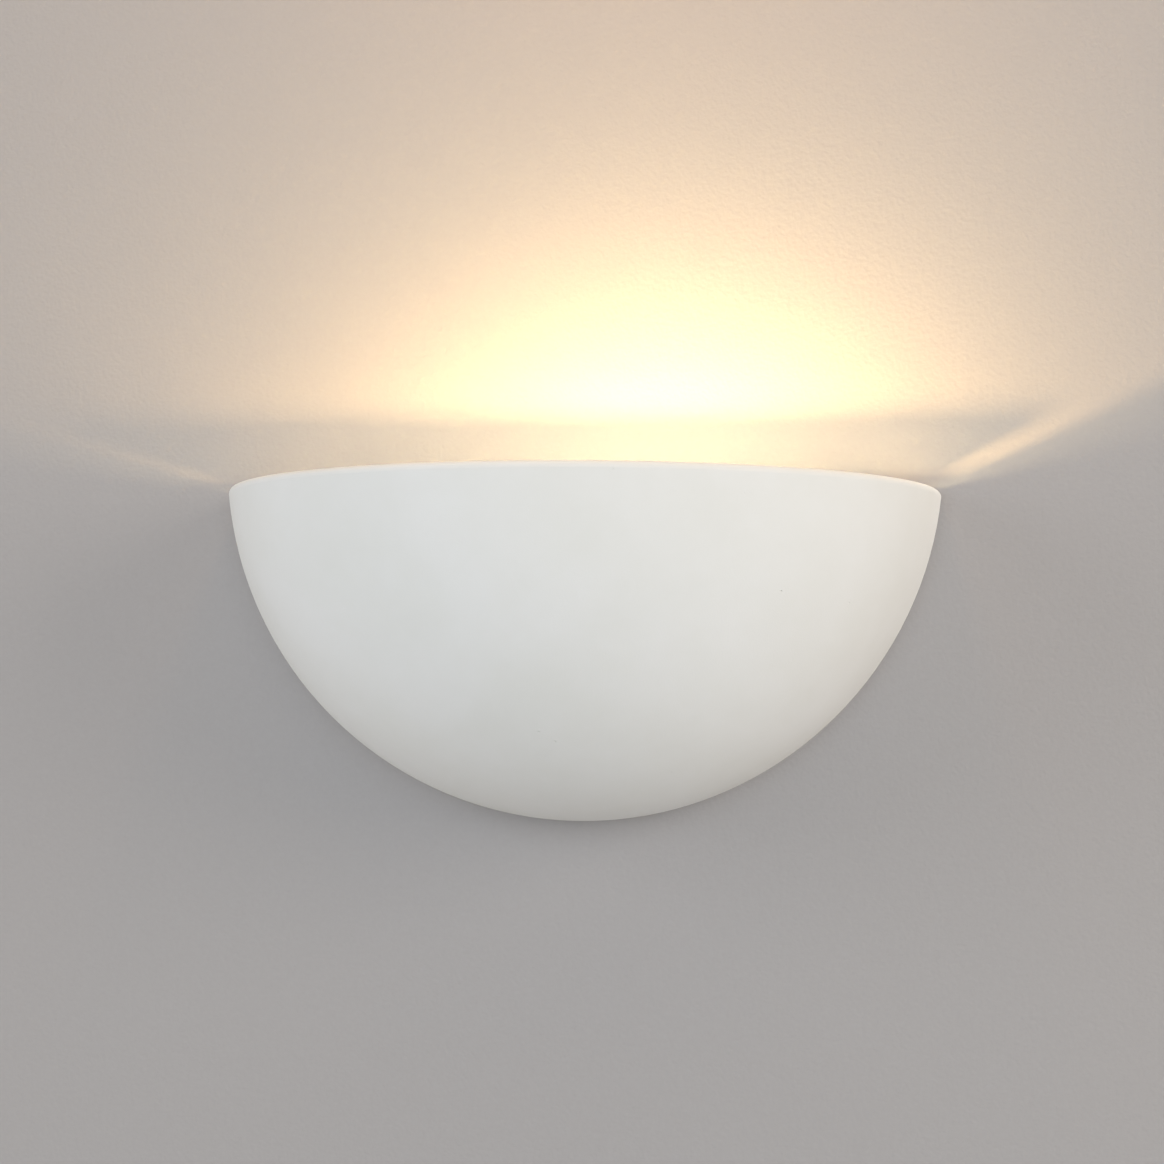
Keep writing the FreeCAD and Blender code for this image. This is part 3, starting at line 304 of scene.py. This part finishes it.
def make_plaster():
    """Matt white plaster with pinholes, a powdery grain and a gentle unevenness."""
    material, tree, shader = start_finish(
        "plaster", linear(221, 220, 217), 0.92, Specular_IOR_Level=0.25)
    mottle(tree, shader, linear(224, 223, 222), linear(217, 216, 212), 16.0, 0.6)
    pits = add_node(tree, "ShaderNodeGroup", {
        "Scale": 160.0, "Radius": 0.07, "Rare": 0.93,
    }, node_tree=PITS)
    holes = add_node(tree, "ShaderNodeBump", {"Strength": 1.0, "Distance": 0.0004}, invert=True)
    tree.links.new(pits.outputs["Mask"], holes.inputs["Height"])
    grain_bump(tree, shader, 1500.0, 26.0, 6.0, 0.00004, before=holes)
    return material


FINISHES = {"plaster": make_plaster()}
print("plaster finish made")

# %% [markdown]
# ## Metals
#
# The bracket and the arm are folded sheet with a white powder coat, which flows out into a faint
# orange peel. Studs, washers and screws are zinc plated: bright when new, then slightly clouded.
# The thumb nuts and the electrical parts are brass, a little tarnished. Bare metal needs its
# clouding in the roughness as well as in the colour, or it looks like a mirror.

# %% Metal finishes


def make_powder_coat():
    """White powder coat with a faint orange peel."""
    material, tree, shader = start_finish("white_steel", linear(228, 228, 225), 0.42)
    mottle(tree, shader, linear(229, 229, 227), linear(221, 220, 215), 30.0, 0.5)
    grain_bump(tree, shader, 1100.0, 300.0, 0.8, 0.00004)
    return material


def make_metal(name, colour, clouded, low, high, scale=120.0):
    """Bare metal whose clouded patches are duller and darker."""
    material, tree, shader = start_finish(name, colour, (low + high) / 2, Metallic=1.0)
    cloud = mottle(tree, shader, colour, clouded, scale, 0.8)
    uneven_gloss(tree, shader, cloud.outputs["Mask"], low, high)
    grain_bump(tree, shader, 2600.0, 700.0, 0.6, 0.000012)
    return material


FINISHES.update({
    "white_steel": make_powder_coat(),
    "zinc_steel": make_metal("zinc_steel", linear(205, 207, 210), linear(176, 180, 186), 0.26, 0.44),
    "brass": make_metal("brass", linear(214, 180, 108), linear(168, 130, 66), 0.22, 0.42, 160.0),
    "cap_metal": make_metal("cap_metal", linear(214, 213, 208), linear(186, 184, 178), 0.2, 0.36),
    "solder": make_metal("solder", linear(168, 168, 165), linear(128, 128, 126), 0.4, 0.6, 500.0),
})
print("metal finishes:", ", ".join(sorted(set(FINISHES) - {"plaster"})))

# %% [markdown]
# ## Plastics, rubber, fibre and ceramic
#
# Moulded parts show a fine even texture from the mould, and a soft change of gloss. The bush is
# rubber with a bloom of dust, the shade's soft washers are red-brown vulcanised fibre with its
# strands pressed flat, and the core of the lampholder is unglazed ceramic.

# %% Moulded finishes


def make_moulded(name, colour, other, roughness, grain=1600.0, depth=0.00002, scale=90.0, **values):
    """A moulded material: two near colours, a fine grain, and gloss that varies a little."""
    material, tree, shader = start_finish(name, colour, roughness, **values)
    cloud = mottle(tree, shader, colour, other, scale, 0.6)
    uneven_gloss(tree, shader, cloud.outputs["Mask"], roughness - 0.05, roughness + 0.07)
    grain_bump(tree, shader, grain, grain / 5, 0.5, depth)
    return material


FINISHES.update({
    "black_resin": make_moulded("black_resin", linear(34, 33, 33), linear(48, 46, 44), 0.38),
    "core_ceramic": make_moulded("core_ceramic", linear(226, 222, 211), linear(214, 207, 192), 0.7),
    "insulator_glass": make_moulded("insulator_glass", linear(20, 18, 22), linear(30, 26, 32), 0.14),
    "rubber": make_moulded("rubber", linear(40, 40, 41), linear(66, 64, 61), 0.72, 900.0, 0.00005),
    "fibre": make_moulded("fibre", linear(134, 66, 44), linear(104, 46, 30), 0.66, 700.0, 0.00006, 260.0),
    "white_nylon": make_moulded("white_nylon", linear(233, 232, 224), linear(222, 219, 206), 0.4,
                                Subsurface_Weight=0.15, Subsurface_Scale=0.002),
    "brown_insulation": make_moulded("brown_insulation", linear(98, 58, 38), linear(84, 47, 30), 0.4),
    "blue_insulation": make_moulded("blue_insulation", linear(48, 104, 172), linear(38, 88, 152), 0.4),
})
print("finishes so far:", len(FINISHES))

# %% [markdown]
# ## Earth lead
#
# An earth lead is green and yellow along its whole length. The lead hangs almost straight down, so
# its left side can be one colour and its right side the other, and the split leans a little, as
# the twist of a real lead makes it do.

# %% Two-colour insulation
EARTH_LEAD_MIDDLE = -86.0 * MM
EARTH_LEAD_LEAN = 0.02


def make_earth_insulation():
    """Green on the left of a leaning line, yellow on its right."""
    material, tree, shader = start_finish("earth_insulation", linear(70, 140, 52), 0.4)
    place = add_node(tree, "ShaderNodeTexCoord")
    axes = add_node(tree, "ShaderNodeSeparateXYZ")
    lean = add_node(tree, "ShaderNodeMath", {1: EARTH_LEAD_LEAN, 2: -EARTH_LEAD_MIDDLE},
                    operation="MULTIPLY_ADD")
    across = add_node(tree, "ShaderNodeMath", operation="ADD")
    side = add_node(tree, "ShaderNodeMath", {1: 0.0}, operation="GREATER_THAN")
    mix = add_node(tree, "ShaderNodeMix", data_type="RGBA")
    mix.inputs["A"].default_value = linear(58, 132, 60)
    mix.inputs["B"].default_value = linear(222, 200, 60)
    link = tree.links.new
    link(place.outputs["Object"], axes.inputs["Vector"])
    link(axes.outputs["Z"], lean.inputs[0])
    link(lean.outputs[0], across.inputs[1])
    link(axes.outputs["X"], across.inputs[0])
    link(across.outputs[0], side.inputs[0])
    link(side.outputs[0], mix.inputs["Factor"])
    link(mix.outputs["Result"], shader.inputs["Base Color"])
    grain_bump(tree, shader, 1600.0, 300.0, 0.5, 0.00002)
    return material


FINISHES["earth_insulation"] = make_earth_insulation()
print("earth lead split at x =", EARTH_LEAD_MIDDLE)

# %% [markdown]
# ## Glass and filament
#
# The bulb is clear, which is known from the sharp edge of its light on the wall: a frosted bulb is
# a large source, and would blur it. The glass is thin and clean. The filament glows, so its colour
# comes from the emission and not from the lamps.

# %% Glass and glowing wire


def make_clear_glass():
    """Clean clear glass."""
    return start_finish(
        "bulb_glass", (1.0, 1.0, 1.0, 1.0), 0.0, Transmission_Weight=1.0, IOR=1.5)[0]


def make_glowing_wire():
    """Hot wire that gives off a warm light of its own."""
    material, _, shader = start_finish(
        "filament_wire", linear(120, 110, 100), 0.6, Metallic=1.0)
    shader.inputs["Emission Color"].default_value = linear(255, 214, 150)
    shader.inputs["Emission Strength"].default_value = 14.0
    return material


FINISHES["bulb_glass"] = make_clear_glass()
FINISHES["filament_wire"] = make_glowing_wire()
print("all finishes:", len(FINISHES))

# %% Give every node its finish
for row in frame["record"]["subparts"]:
    node = frame["nodes"][row["node"]]
    for place in node.material_slots:
        place.material = FINISHES[row["material_slot"]]

# %% [markdown]
# ## Screw threads
#
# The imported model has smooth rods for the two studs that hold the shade, for the earth stud and for
# the hollow nipple behind the lampholder. The real ones are threaded. A thread is a small V that
# climbs as it goes round, and that is what the Screw modifier makes: the profile is one edge pair,
# root, crest, root, one pitch high. At both ends the crest is squeezed down into the core, as a
# real thread runs out. Each rod is made upright round the Z axis, then turned and moved once.

# %% Helpers for screw threads
TURN_STEPS = 20
THREAD_DEPTH_SHARE = 0.61
CORE_OVERLAP = 0.02 * MM


def select_points(piece, wanted):
    """Enter edit mode with only the points whose place passes the test."""
    bpy.ops.object.mode_set(mode="EDIT")
    bpy.ops.mesh.select_mode(type="VERT")
    bpy.ops.mesh.select_all(action="DESELECT")
    bpy.ops.object.mode_set(mode="OBJECT")
    for point in piece.data.vertices:
        point.select = wanted(point.co)
    bpy.ops.object.mode_set(mode="EDIT")


def apply_modifier(piece, kind, **settings):
    """Add a modifier with its settings and apply it at once."""
    modifier = piece.modifiers.new(kind.lower(), kind)
    for option, setting in settings.items():
        setattr(modifier, option, setting)
    bpy.ops.object.modifier_apply(modifier=modifier.name)


def make_ridge(radius, pitch, start, end):
    """The thread itself: a V-shaped ridge that winds up the Z axis from start to end."""
    depth = THREAD_DEPTH_SHARE * pitch
    root = radius - depth
    bpy.ops.object.select_all(action="DESELECT")
    bpy.ops.mesh.primitive_plane_add(
        size=1.0, location=(root + depth / 2, 0, start + pitch / 2), rotation=(math.pi / 2, 0, 0))
    ridge = bpy.context.active_object
    ridge.scale = (depth, pitch, 1)
    bpy.ops.object.transform_apply(location=True, rotation=True, scale=True)
    select_points(ridge, lambda place: place.x > root + depth / 2)
    bpy.ops.mesh.merge(type="CENTER")
    bpy.ops.object.mode_set(mode="OBJECT")
    select_points(ridge, lambda place: place.x < root + depth / 2)
    bpy.ops.mesh.delete(type="EDGE")
    bpy.ops.object.mode_set(mode="OBJECT")
    turns = int((end - start) / pitch) - 1
    apply_modifier(ridge, "SCREW", axis="Z", screw_offset=pitch, iterations=turns,
                   steps=TURN_STEPS, render_steps=TURN_STEPS)
    select_points(ridge, lambda place: True)
    bpy.ops.mesh.remove_doubles(threshold=0.001 * MM)
    bpy.ops.mesh.normals_make_consistent(inside=False)
    bpy.ops.object.mode_set(mode="OBJECT")
    crest_low, crest_high = start + pitch / 2, start + (turns + 0.5) * pitch
    select_points(ridge, lambda place: math.hypot(place.x, place.y) > root + depth / 2 and not (
        crest_low + pitch / 4 < place.z < crest_high - pitch / 4))
    bpy.ops.transform.resize(value=(root / radius, root / radius, 1), center_override=(0, 0, 0))
    bpy.ops.object.mode_set(mode="OBJECT")
    return ridge


def make_round(radius, low, high, edge, bore=None):
    """A round bar, or a tube with a bore, on the Z axis with bevelled ends."""
    bpy.ops.object.select_all(action="DESELECT")
    bpy.ops.mesh.primitive_cylinder_add(
        vertices=32, radius=radius, depth=high - low, location=(0, 0, (low + high) / 2),
        end_fill_type="NOTHING" if bore else "NGON")
    bar = bpy.context.active_object
    bpy.ops.object.transform_apply(location=True, rotation=False, scale=False)
    if bore:
        apply_modifier(bar, "SOLIDIFY", thickness=radius - bore, offset=-1.0)
    apply_modifier(bar, "BEVEL", width=edge, segments=2, limit_method="ANGLE")
    return bar


def make_threaded_rod(node, radius, pitch, thread, plain, place, turn, bore=None):
    """A rod with a thread between two heights; plain is a list of (radius, low, high)."""
    low, high = thread
    root = radius - THREAD_DEPTH_SHARE * pitch
    parts = [
        make_ridge(radius, pitch, low, high - pitch / 2),
        make_round(root + CORE_OVERLAP, low, high, 0.15 * MM, bore),
    ]
    parts += [make_round(wide, start, end, 0.2 * MM) for wide, start, end in plain]
    bpy.ops.object.select_all(action="DESELECT")
    for part in parts:
        part.select_set(True)
    bpy.context.view_layer.objects.active = parts[0]
    bpy.ops.object.join()
    rod = bpy.context.active_object
    rod.name = rod.data.name = node + "_threaded"
    rod.location, rod.rotation_euler = place, turn
    bpy.ops.object.transform_apply(location=True, rotation=True, scale=True)
    bpy.ops.object.shade_smooth_by_angle(angle=math.radians(35))
    row = next(row for row in frame["record"]["subparts"] if row["node"] == node)
    rod.data.materials.append(FINISHES[row["material_slot"]])
    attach(rod, "wall_mount")
    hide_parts(node)
    print(rod.name, len(rod.data.polygons), "faces")
    return rod


# %% Studs and nipple
TOWARDS_VIEWER = (math.pi / 2, 0, 0)
TOWARDS_LEFT = (0, -math.pi / 2, 0)
SHEET = 1.5 * MM
COLLAR_END = 3.0 * MM
STUD_RADIUS, STUD_PITCH = 2.5 * MM, 0.8 * MM
EARTH_RADIUS, EARTH_PITCH = 2.0 * MM, 0.7 * MM
NIPPLE_BORE, NIPPLE_PITCH = 4.0 * MM, 1.0 * MM


def middle(node):
    """The middle of a node's box."""
    low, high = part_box(node)
    return (low + high) / 2


for node in ("shade_stud_left", "shade_stud_right"):
    low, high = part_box(node)
    make_threaded_rod(
        node, STUD_RADIUS, STUD_PITCH, (COLLAR_END, high.y - low.y),
        [(STUD_RADIUS, 0, COLLAR_END), ((high.x - low.x) / 2, SHEET, COLLAR_END)],
        (middle(node).x, high.y, middle(node).z), TOWARDS_VIEWER)

low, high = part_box("earth_stud")
make_threaded_rod(
    "earth_stud", EARTH_RADIUS, EARTH_PITCH, (SHEET, high.y - low.y), [(EARTH_RADIUS, 0, SHEET)],
    (middle("earth_stud").x, high.y, middle("earth_stud").z), TOWARDS_VIEWER)

low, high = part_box("threaded_nipple")
make_threaded_rod(
    "threaded_nipple", (high.z - low.z) / 2, NIPPLE_PITCH, (0, high.x - low.x), [],
    (high.x, middle("threaded_nipple").y, middle("threaded_nipple").z), TOWARDS_LEFT, NIPPLE_BORE)

# %% [markdown]
# ## Coiled filament
#
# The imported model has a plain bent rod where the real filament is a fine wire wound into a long
# coil. The coil is drawn as a curve: its line follows the rod's own shape, three straight runs
# with rounded corners, and turns round it about sixty times. A curve with a round bevel then
# gives the wire its thickness.

# %% Coiled filament
COIL_RADIUS = 0.36 * MM
WIRE_RADIUS = 0.07 * MM
COIL_TURNS = 62
POINTS_PER_TURN = 12
CORNER_SHARE = 0.3
CORNER_STEPS = 6
RUN_SLOPE = 2.0 * MM


def rounded_line(corners, share, steps):
    """Points along straight runs whose corners are rounded over a share of their length."""
    points = [corners[0]]
    for before, corner, after in zip(corners, corners[1:], corners[2:]):
        enter, leave = corner.lerp(before, share), corner.lerp(after, share)
        for number in range(steps + 1):
            part = number / steps
            points.append(enter.lerp(corner, part).lerp(corner.lerp(leave, part), part))
    points.append(corners[-1])
    return points


def point_at(points, distance):
    """The point and direction at a distance along a line of points."""
    for start, stop in zip(points, points[1:]):
        run = (stop - start).length
        if distance <= run:
            return start.lerp(stop, distance / run), (stop - start).normalized()
        distance -= run
    return points[-1], (points[-1] - points[-2]).normalized()


def make_coil():
    """The wound wire, from one support wire round to the other."""
    low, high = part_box("filament")
    middle_y = (low.y + high.y) / 2
    left = low.x + COIL_RADIUS
    right = high.x - COIL_RADIUS - WIRE_RADIUS
    top, bottom = high.z - COIL_RADIUS, low.z + COIL_RADIUS
    line = rounded_line([
        Vector((left, middle_y, bottom)), Vector((right, middle_y, bottom + RUN_SLOPE)),
        Vector((right, middle_y, top - RUN_SLOPE)), Vector((left, middle_y, top)),
    ], CORNER_SHARE, CORNER_STEPS)
    length = sum((b - a).length for a, b in zip(line, line[1:]))
    curve = bpy.data.curves.new("filament_coil", "CURVE")
    curve.dimensions = "3D"
    curve.bevel_depth = WIRE_RADIUS
    curve.bevel_resolution = 1
    count = COIL_TURNS * POINTS_PER_TURN
    spline = curve.splines.new("POLY")
    spline.points.add(count)
    side = Vector((0, 1, 0))
    for number in range(count + 1):
        centre, ahead = point_at(line, length * number / count)
        across = ahead.cross(side).normalized()
        angle = 2 * math.pi * number / POINTS_PER_TURN
        place = centre + COIL_RADIUS * (math.cos(angle) * side + math.sin(angle) * across)
        spline.points[number].co = (*place, 1.0)
    curve.use_fill_caps = True
    coil = bpy.data.objects.new("filament_coil", curve)
    bpy.context.collection.objects.link(coil)
    bpy.ops.object.select_all(action="DESELECT")
    coil.select_set(True)
    bpy.context.view_layer.objects.active = coil
    bpy.ops.object.convert(target="MESH")
    coil = bpy.context.view_layer.objects.active
    bpy.ops.object.shade_smooth()
    coil.data.materials.append(FINISHES["filament_wire"])
    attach(coil, "bulb")
    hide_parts("filament")
    return coil


coil = make_coil()
print("filament coil:", len(coil.data.polygons), "faces")

# %% [markdown]
# ## Wall and floor
#
# The light hangs on a painted wall. The roller left a fine orange peel in the paint, which shows
# most where the light rakes over it. A faint painted light and shade, a colour mottle at the same
# scale, keeps the peel visible where the light is flat. Wall and floor are only a stage. Seen from
# behind, the wall would hide the light, so its back face lets the view through, and it casts no shadow of
# its own.

# %% Wall and floor
WALL_Y = 0.4 * MM
WALL_HALF_WIDTH = 2.2
WALL_TOP = 1.4
FLOOR_Z = -1.3
FLOOR_HALF = 5.0
WALL_COLOUR = (0.355, 0.336, 0.335, 1.0)
PEEL_PAINTED_LIGHT_AND_SHADE = 0.013


def make_plane(name, size_x, size_y, place, turn=(0, 0, 0)):
    """A flat piece of the stage."""
    bpy.ops.object.select_all(action="DESELECT")
    bpy.ops.mesh.primitive_plane_add(size=1.0, location=place, rotation=turn)
    plane = bpy.context.active_object
    plane.name = name
    plane.scale = (size_x, size_y, 1)
    bpy.ops.object.transform_apply(location=True, rotation=True, scale=True)
    plane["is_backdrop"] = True
    return plane


def make_wall_paint():
    """Rolled paint with a painted light and shade for its peel, that can't be seen from behind and casts
    no shadow.
    """
    material, tree, shader = start_finish("wall_paint", WALL_COLOUR, 0.75)
    # Painted light and shade: a faint lighter and darker colour mottle at the peel's scale stands in for
    # the peel's own shading.
    lighter, darker = (
        (*(part * share for part in WALL_COLOUR[:3]), 1.0)
        for share in (1 + PEEL_PAINTED_LIGHT_AND_SHADE, 1 - PEEL_PAINTED_LIGHT_AND_SHADE))
    mottle(tree, shader, lighter, darker, 420.0, 1.0)
    place = add_node(tree, "ShaderNodeTexCoord")
    peel = add_node(tree, "ShaderNodeTexNoise", {"Scale": 520.0, "Detail": 2.0, "Roughness": 0.5})
    bump = add_node(tree, "ShaderNodeBump", {"Strength": 1.0, "Distance": 0.00022})
    clear = add_node(tree, "ShaderNodeBsdfTransparent")
    behind = add_node(tree, "ShaderNodeNewGeometry")
    path = add_node(tree, "ShaderNodeLightPath")
    either = add_node(tree, "ShaderNodeMath", operation="MAXIMUM")
    mix = add_node(tree, "ShaderNodeMixShader")
    link = tree.links.new
    link(place.outputs["Object"], peel.inputs["Vector"])
    link(peel.outputs["Fac"], bump.inputs["Height"])
    link(bump.outputs["Normal"], shader.inputs["Normal"])
    link(behind.outputs["Backfacing"], either.inputs[0])
    link(path.outputs["Is Shadow Ray"], either.inputs[1])
    link(either.outputs[0], mix.inputs[0])
    link(shader.outputs["BSDF"], mix.inputs[1])
    link(clear.outputs["BSDF"], mix.inputs[2])
    link(mix.outputs[0], tree.nodes["Material Output"].inputs["Surface"])
    return material


wall = make_plane("wall", 2 * WALL_HALF_WIDTH, WALL_TOP - FLOOR_Z,
                  (0, WALL_Y, (WALL_TOP + FLOOR_Z) / 2), (math.pi / 2, 0, 0))
wall.data.materials.append(make_wall_paint())
floor = make_plane("floor", 2 * FLOOR_HALF, 2 * FLOOR_HALF, (0, 0, FLOOR_Z))
floor.data.materials.append(start_finish("floor_paint", linear(200, 199, 197), 0.8)[0])
print("wall behind the light at y =", WALL_Y, "floor at z =", FLOOR_Z)

# %% [markdown]
# ## Lamps
#
# Two kinds of light meet here. Soft daylight comes from both sides and from the front: a little
# warmer and stronger from the right, cooler from the left. It shapes the bowl without a highlight.
# The bulb's own light is small and warm. It leaves the bowl only upwards, past the front edge of
# the bracket, and that edge draws the level line where the glow on the wall starts. In a real room
# it comes back from the white inside of the bowl, from the wall above and from the ceiling. Three
# weak warm lamps stand for that light. Their places and strengths were fitted by comparing colours
# on the wall, so they are stand-ins and not measured.

# %% Lamps
BOWL_MIDDLE = Vector((0, 0, -50)) * MM


def make_window(name, place, size, power, colour):
    """A soft square lamp that points at the bowl."""
    data = bpy.data.lights.new(name, "AREA")
    data.shape = "SQUARE"
    data.size = size
    data.energy = power
    data.color = colour
    lamp = bpy.data.objects.new(name, data)
    lamp.location = place
    lamp.rotation_mode = "QUATERNION"
    lamp.rotation_quaternion = (BOWL_MIDDLE - Vector(place)).to_track_quat("-Z", "Y")
    bpy.context.collection.objects.link(lamp)
    return lamp


def make_warm_light(name, place, radius, power, colour):
    """A small round lamp that lights what is round it but is never seen itself."""
    data = bpy.data.lights.new(name, "POINT")
    data.energy = power
    data.color = colour
    data.shadow_soft_size = radius
    lamp = bpy.data.objects.new(name, data)
    lamp.location = place
    lamp.visible_camera = False
    lamp.visible_glossy = False
    lamp.visible_transmission = False
    bpy.context.collection.objects.link(lamp)
    return lamp


make_window("window_left", (-2.6, -1.1, 0.7), 1.6, 26.0, (0.95, 0.977, 1.0))
make_window("window_right", (2.6, -1.1, 0.7), 1.6, 41.5, (1.0, 0.915, 0.80))
make_window("window_front", (0.2, -3.2, 0.2), 2.4, 48.5, (0.77, 0.897, 1.0))
make_window("window_back", (0.8, 2.4, 1.2), 1.6, 40.0, (0.96, 0.98, 1.0))
make_window("ceiling", (0.1, -0.5, 1.7), 1.6, 5.5, (1.0, 0.664, 0.3))
low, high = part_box("bulb_glass")
globe = Vector((high.x - (high.z - low.z) / 2, (low.y + high.y) / 2, (low.z + high.z) / 2))
make_warm_light("bulb_light", globe, 7 * MM, 3.85, (1.0, 0.63, 0.24))
make_warm_light("bowl_bounce", globe + Vector((0, -51, 25)) * MM, 12 * MM, 1.0, (1.0, 0.82, 0.45))
make_warm_light("room_bounce", (0.034, -0.12, 0.45), 50 * MM, 1.4, (1.0, 0.5, 0.16))
for name in ("bulb_glass", "bulb_stem", "filament_supports"):
    frame["nodes"][name].visible_shadow = False
coil.visible_shadow = False
print("bulb light at", [round(v, 3) for v in globe])

# %% [markdown]
# ## Surroundings
#
# The world gives a weak even light from all round, as a room does. Where the camera, a gloss or a
# glass looks past the stage it should see a pale room, and a Light Path node tells those rays from
# the ones that light the object.

# %% Surroundings
SKY_STRENGTH = 0.36
SKY_COLOUR = (1.0, 0.937, 0.85, 1.0)


def make_surroundings():
    """A weak even light all round, and pale where the camera, gloss or glass sees it."""
    world = bpy.data.worlds.new("surroundings")
    world.use_nodes = True
    tree = world.node_tree
    ground = tree.nodes["Background"]
    ground.inputs["Color"].default_value = SKY_COLOUR
    path = add_node(tree, "ShaderNodeLightPath")
    seen = add_node(tree, "ShaderNodeMath", operation="MAXIMUM")
    also = add_node(tree, "ShaderNodeMath", operation="MAXIMUM")
    strength = add_node(tree, "ShaderNodeMapRange", {"To Min": SKY_STRENGTH, "To Max": 1.0})
    link = tree.links.new
    link(path.outputs["Is Camera Ray"], seen.inputs[0])
    link(path.outputs["Is Glossy Ray"], seen.inputs[1])
    link(seen.outputs[0], also.inputs[0])
    link(path.outputs["Is Transmission Ray"], also.inputs[1])
    link(also.outputs[0], strength.inputs["Value"])
    link(strength.outputs["Result"], ground.inputs["Strength"])
    bpy.context.scene.world = world


make_surroundings()
bpy.context.scene.view_settings.view_transform = "Standard"
print("surroundings ready")

# %% [markdown]
# ## Size
#
# The dressed model has to stay inside the imported one. The last cell prints the box round the
# dressed model.

# %% Size
low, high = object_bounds()
print("visual box", [round(v, 4) for v in (*low, *high)])
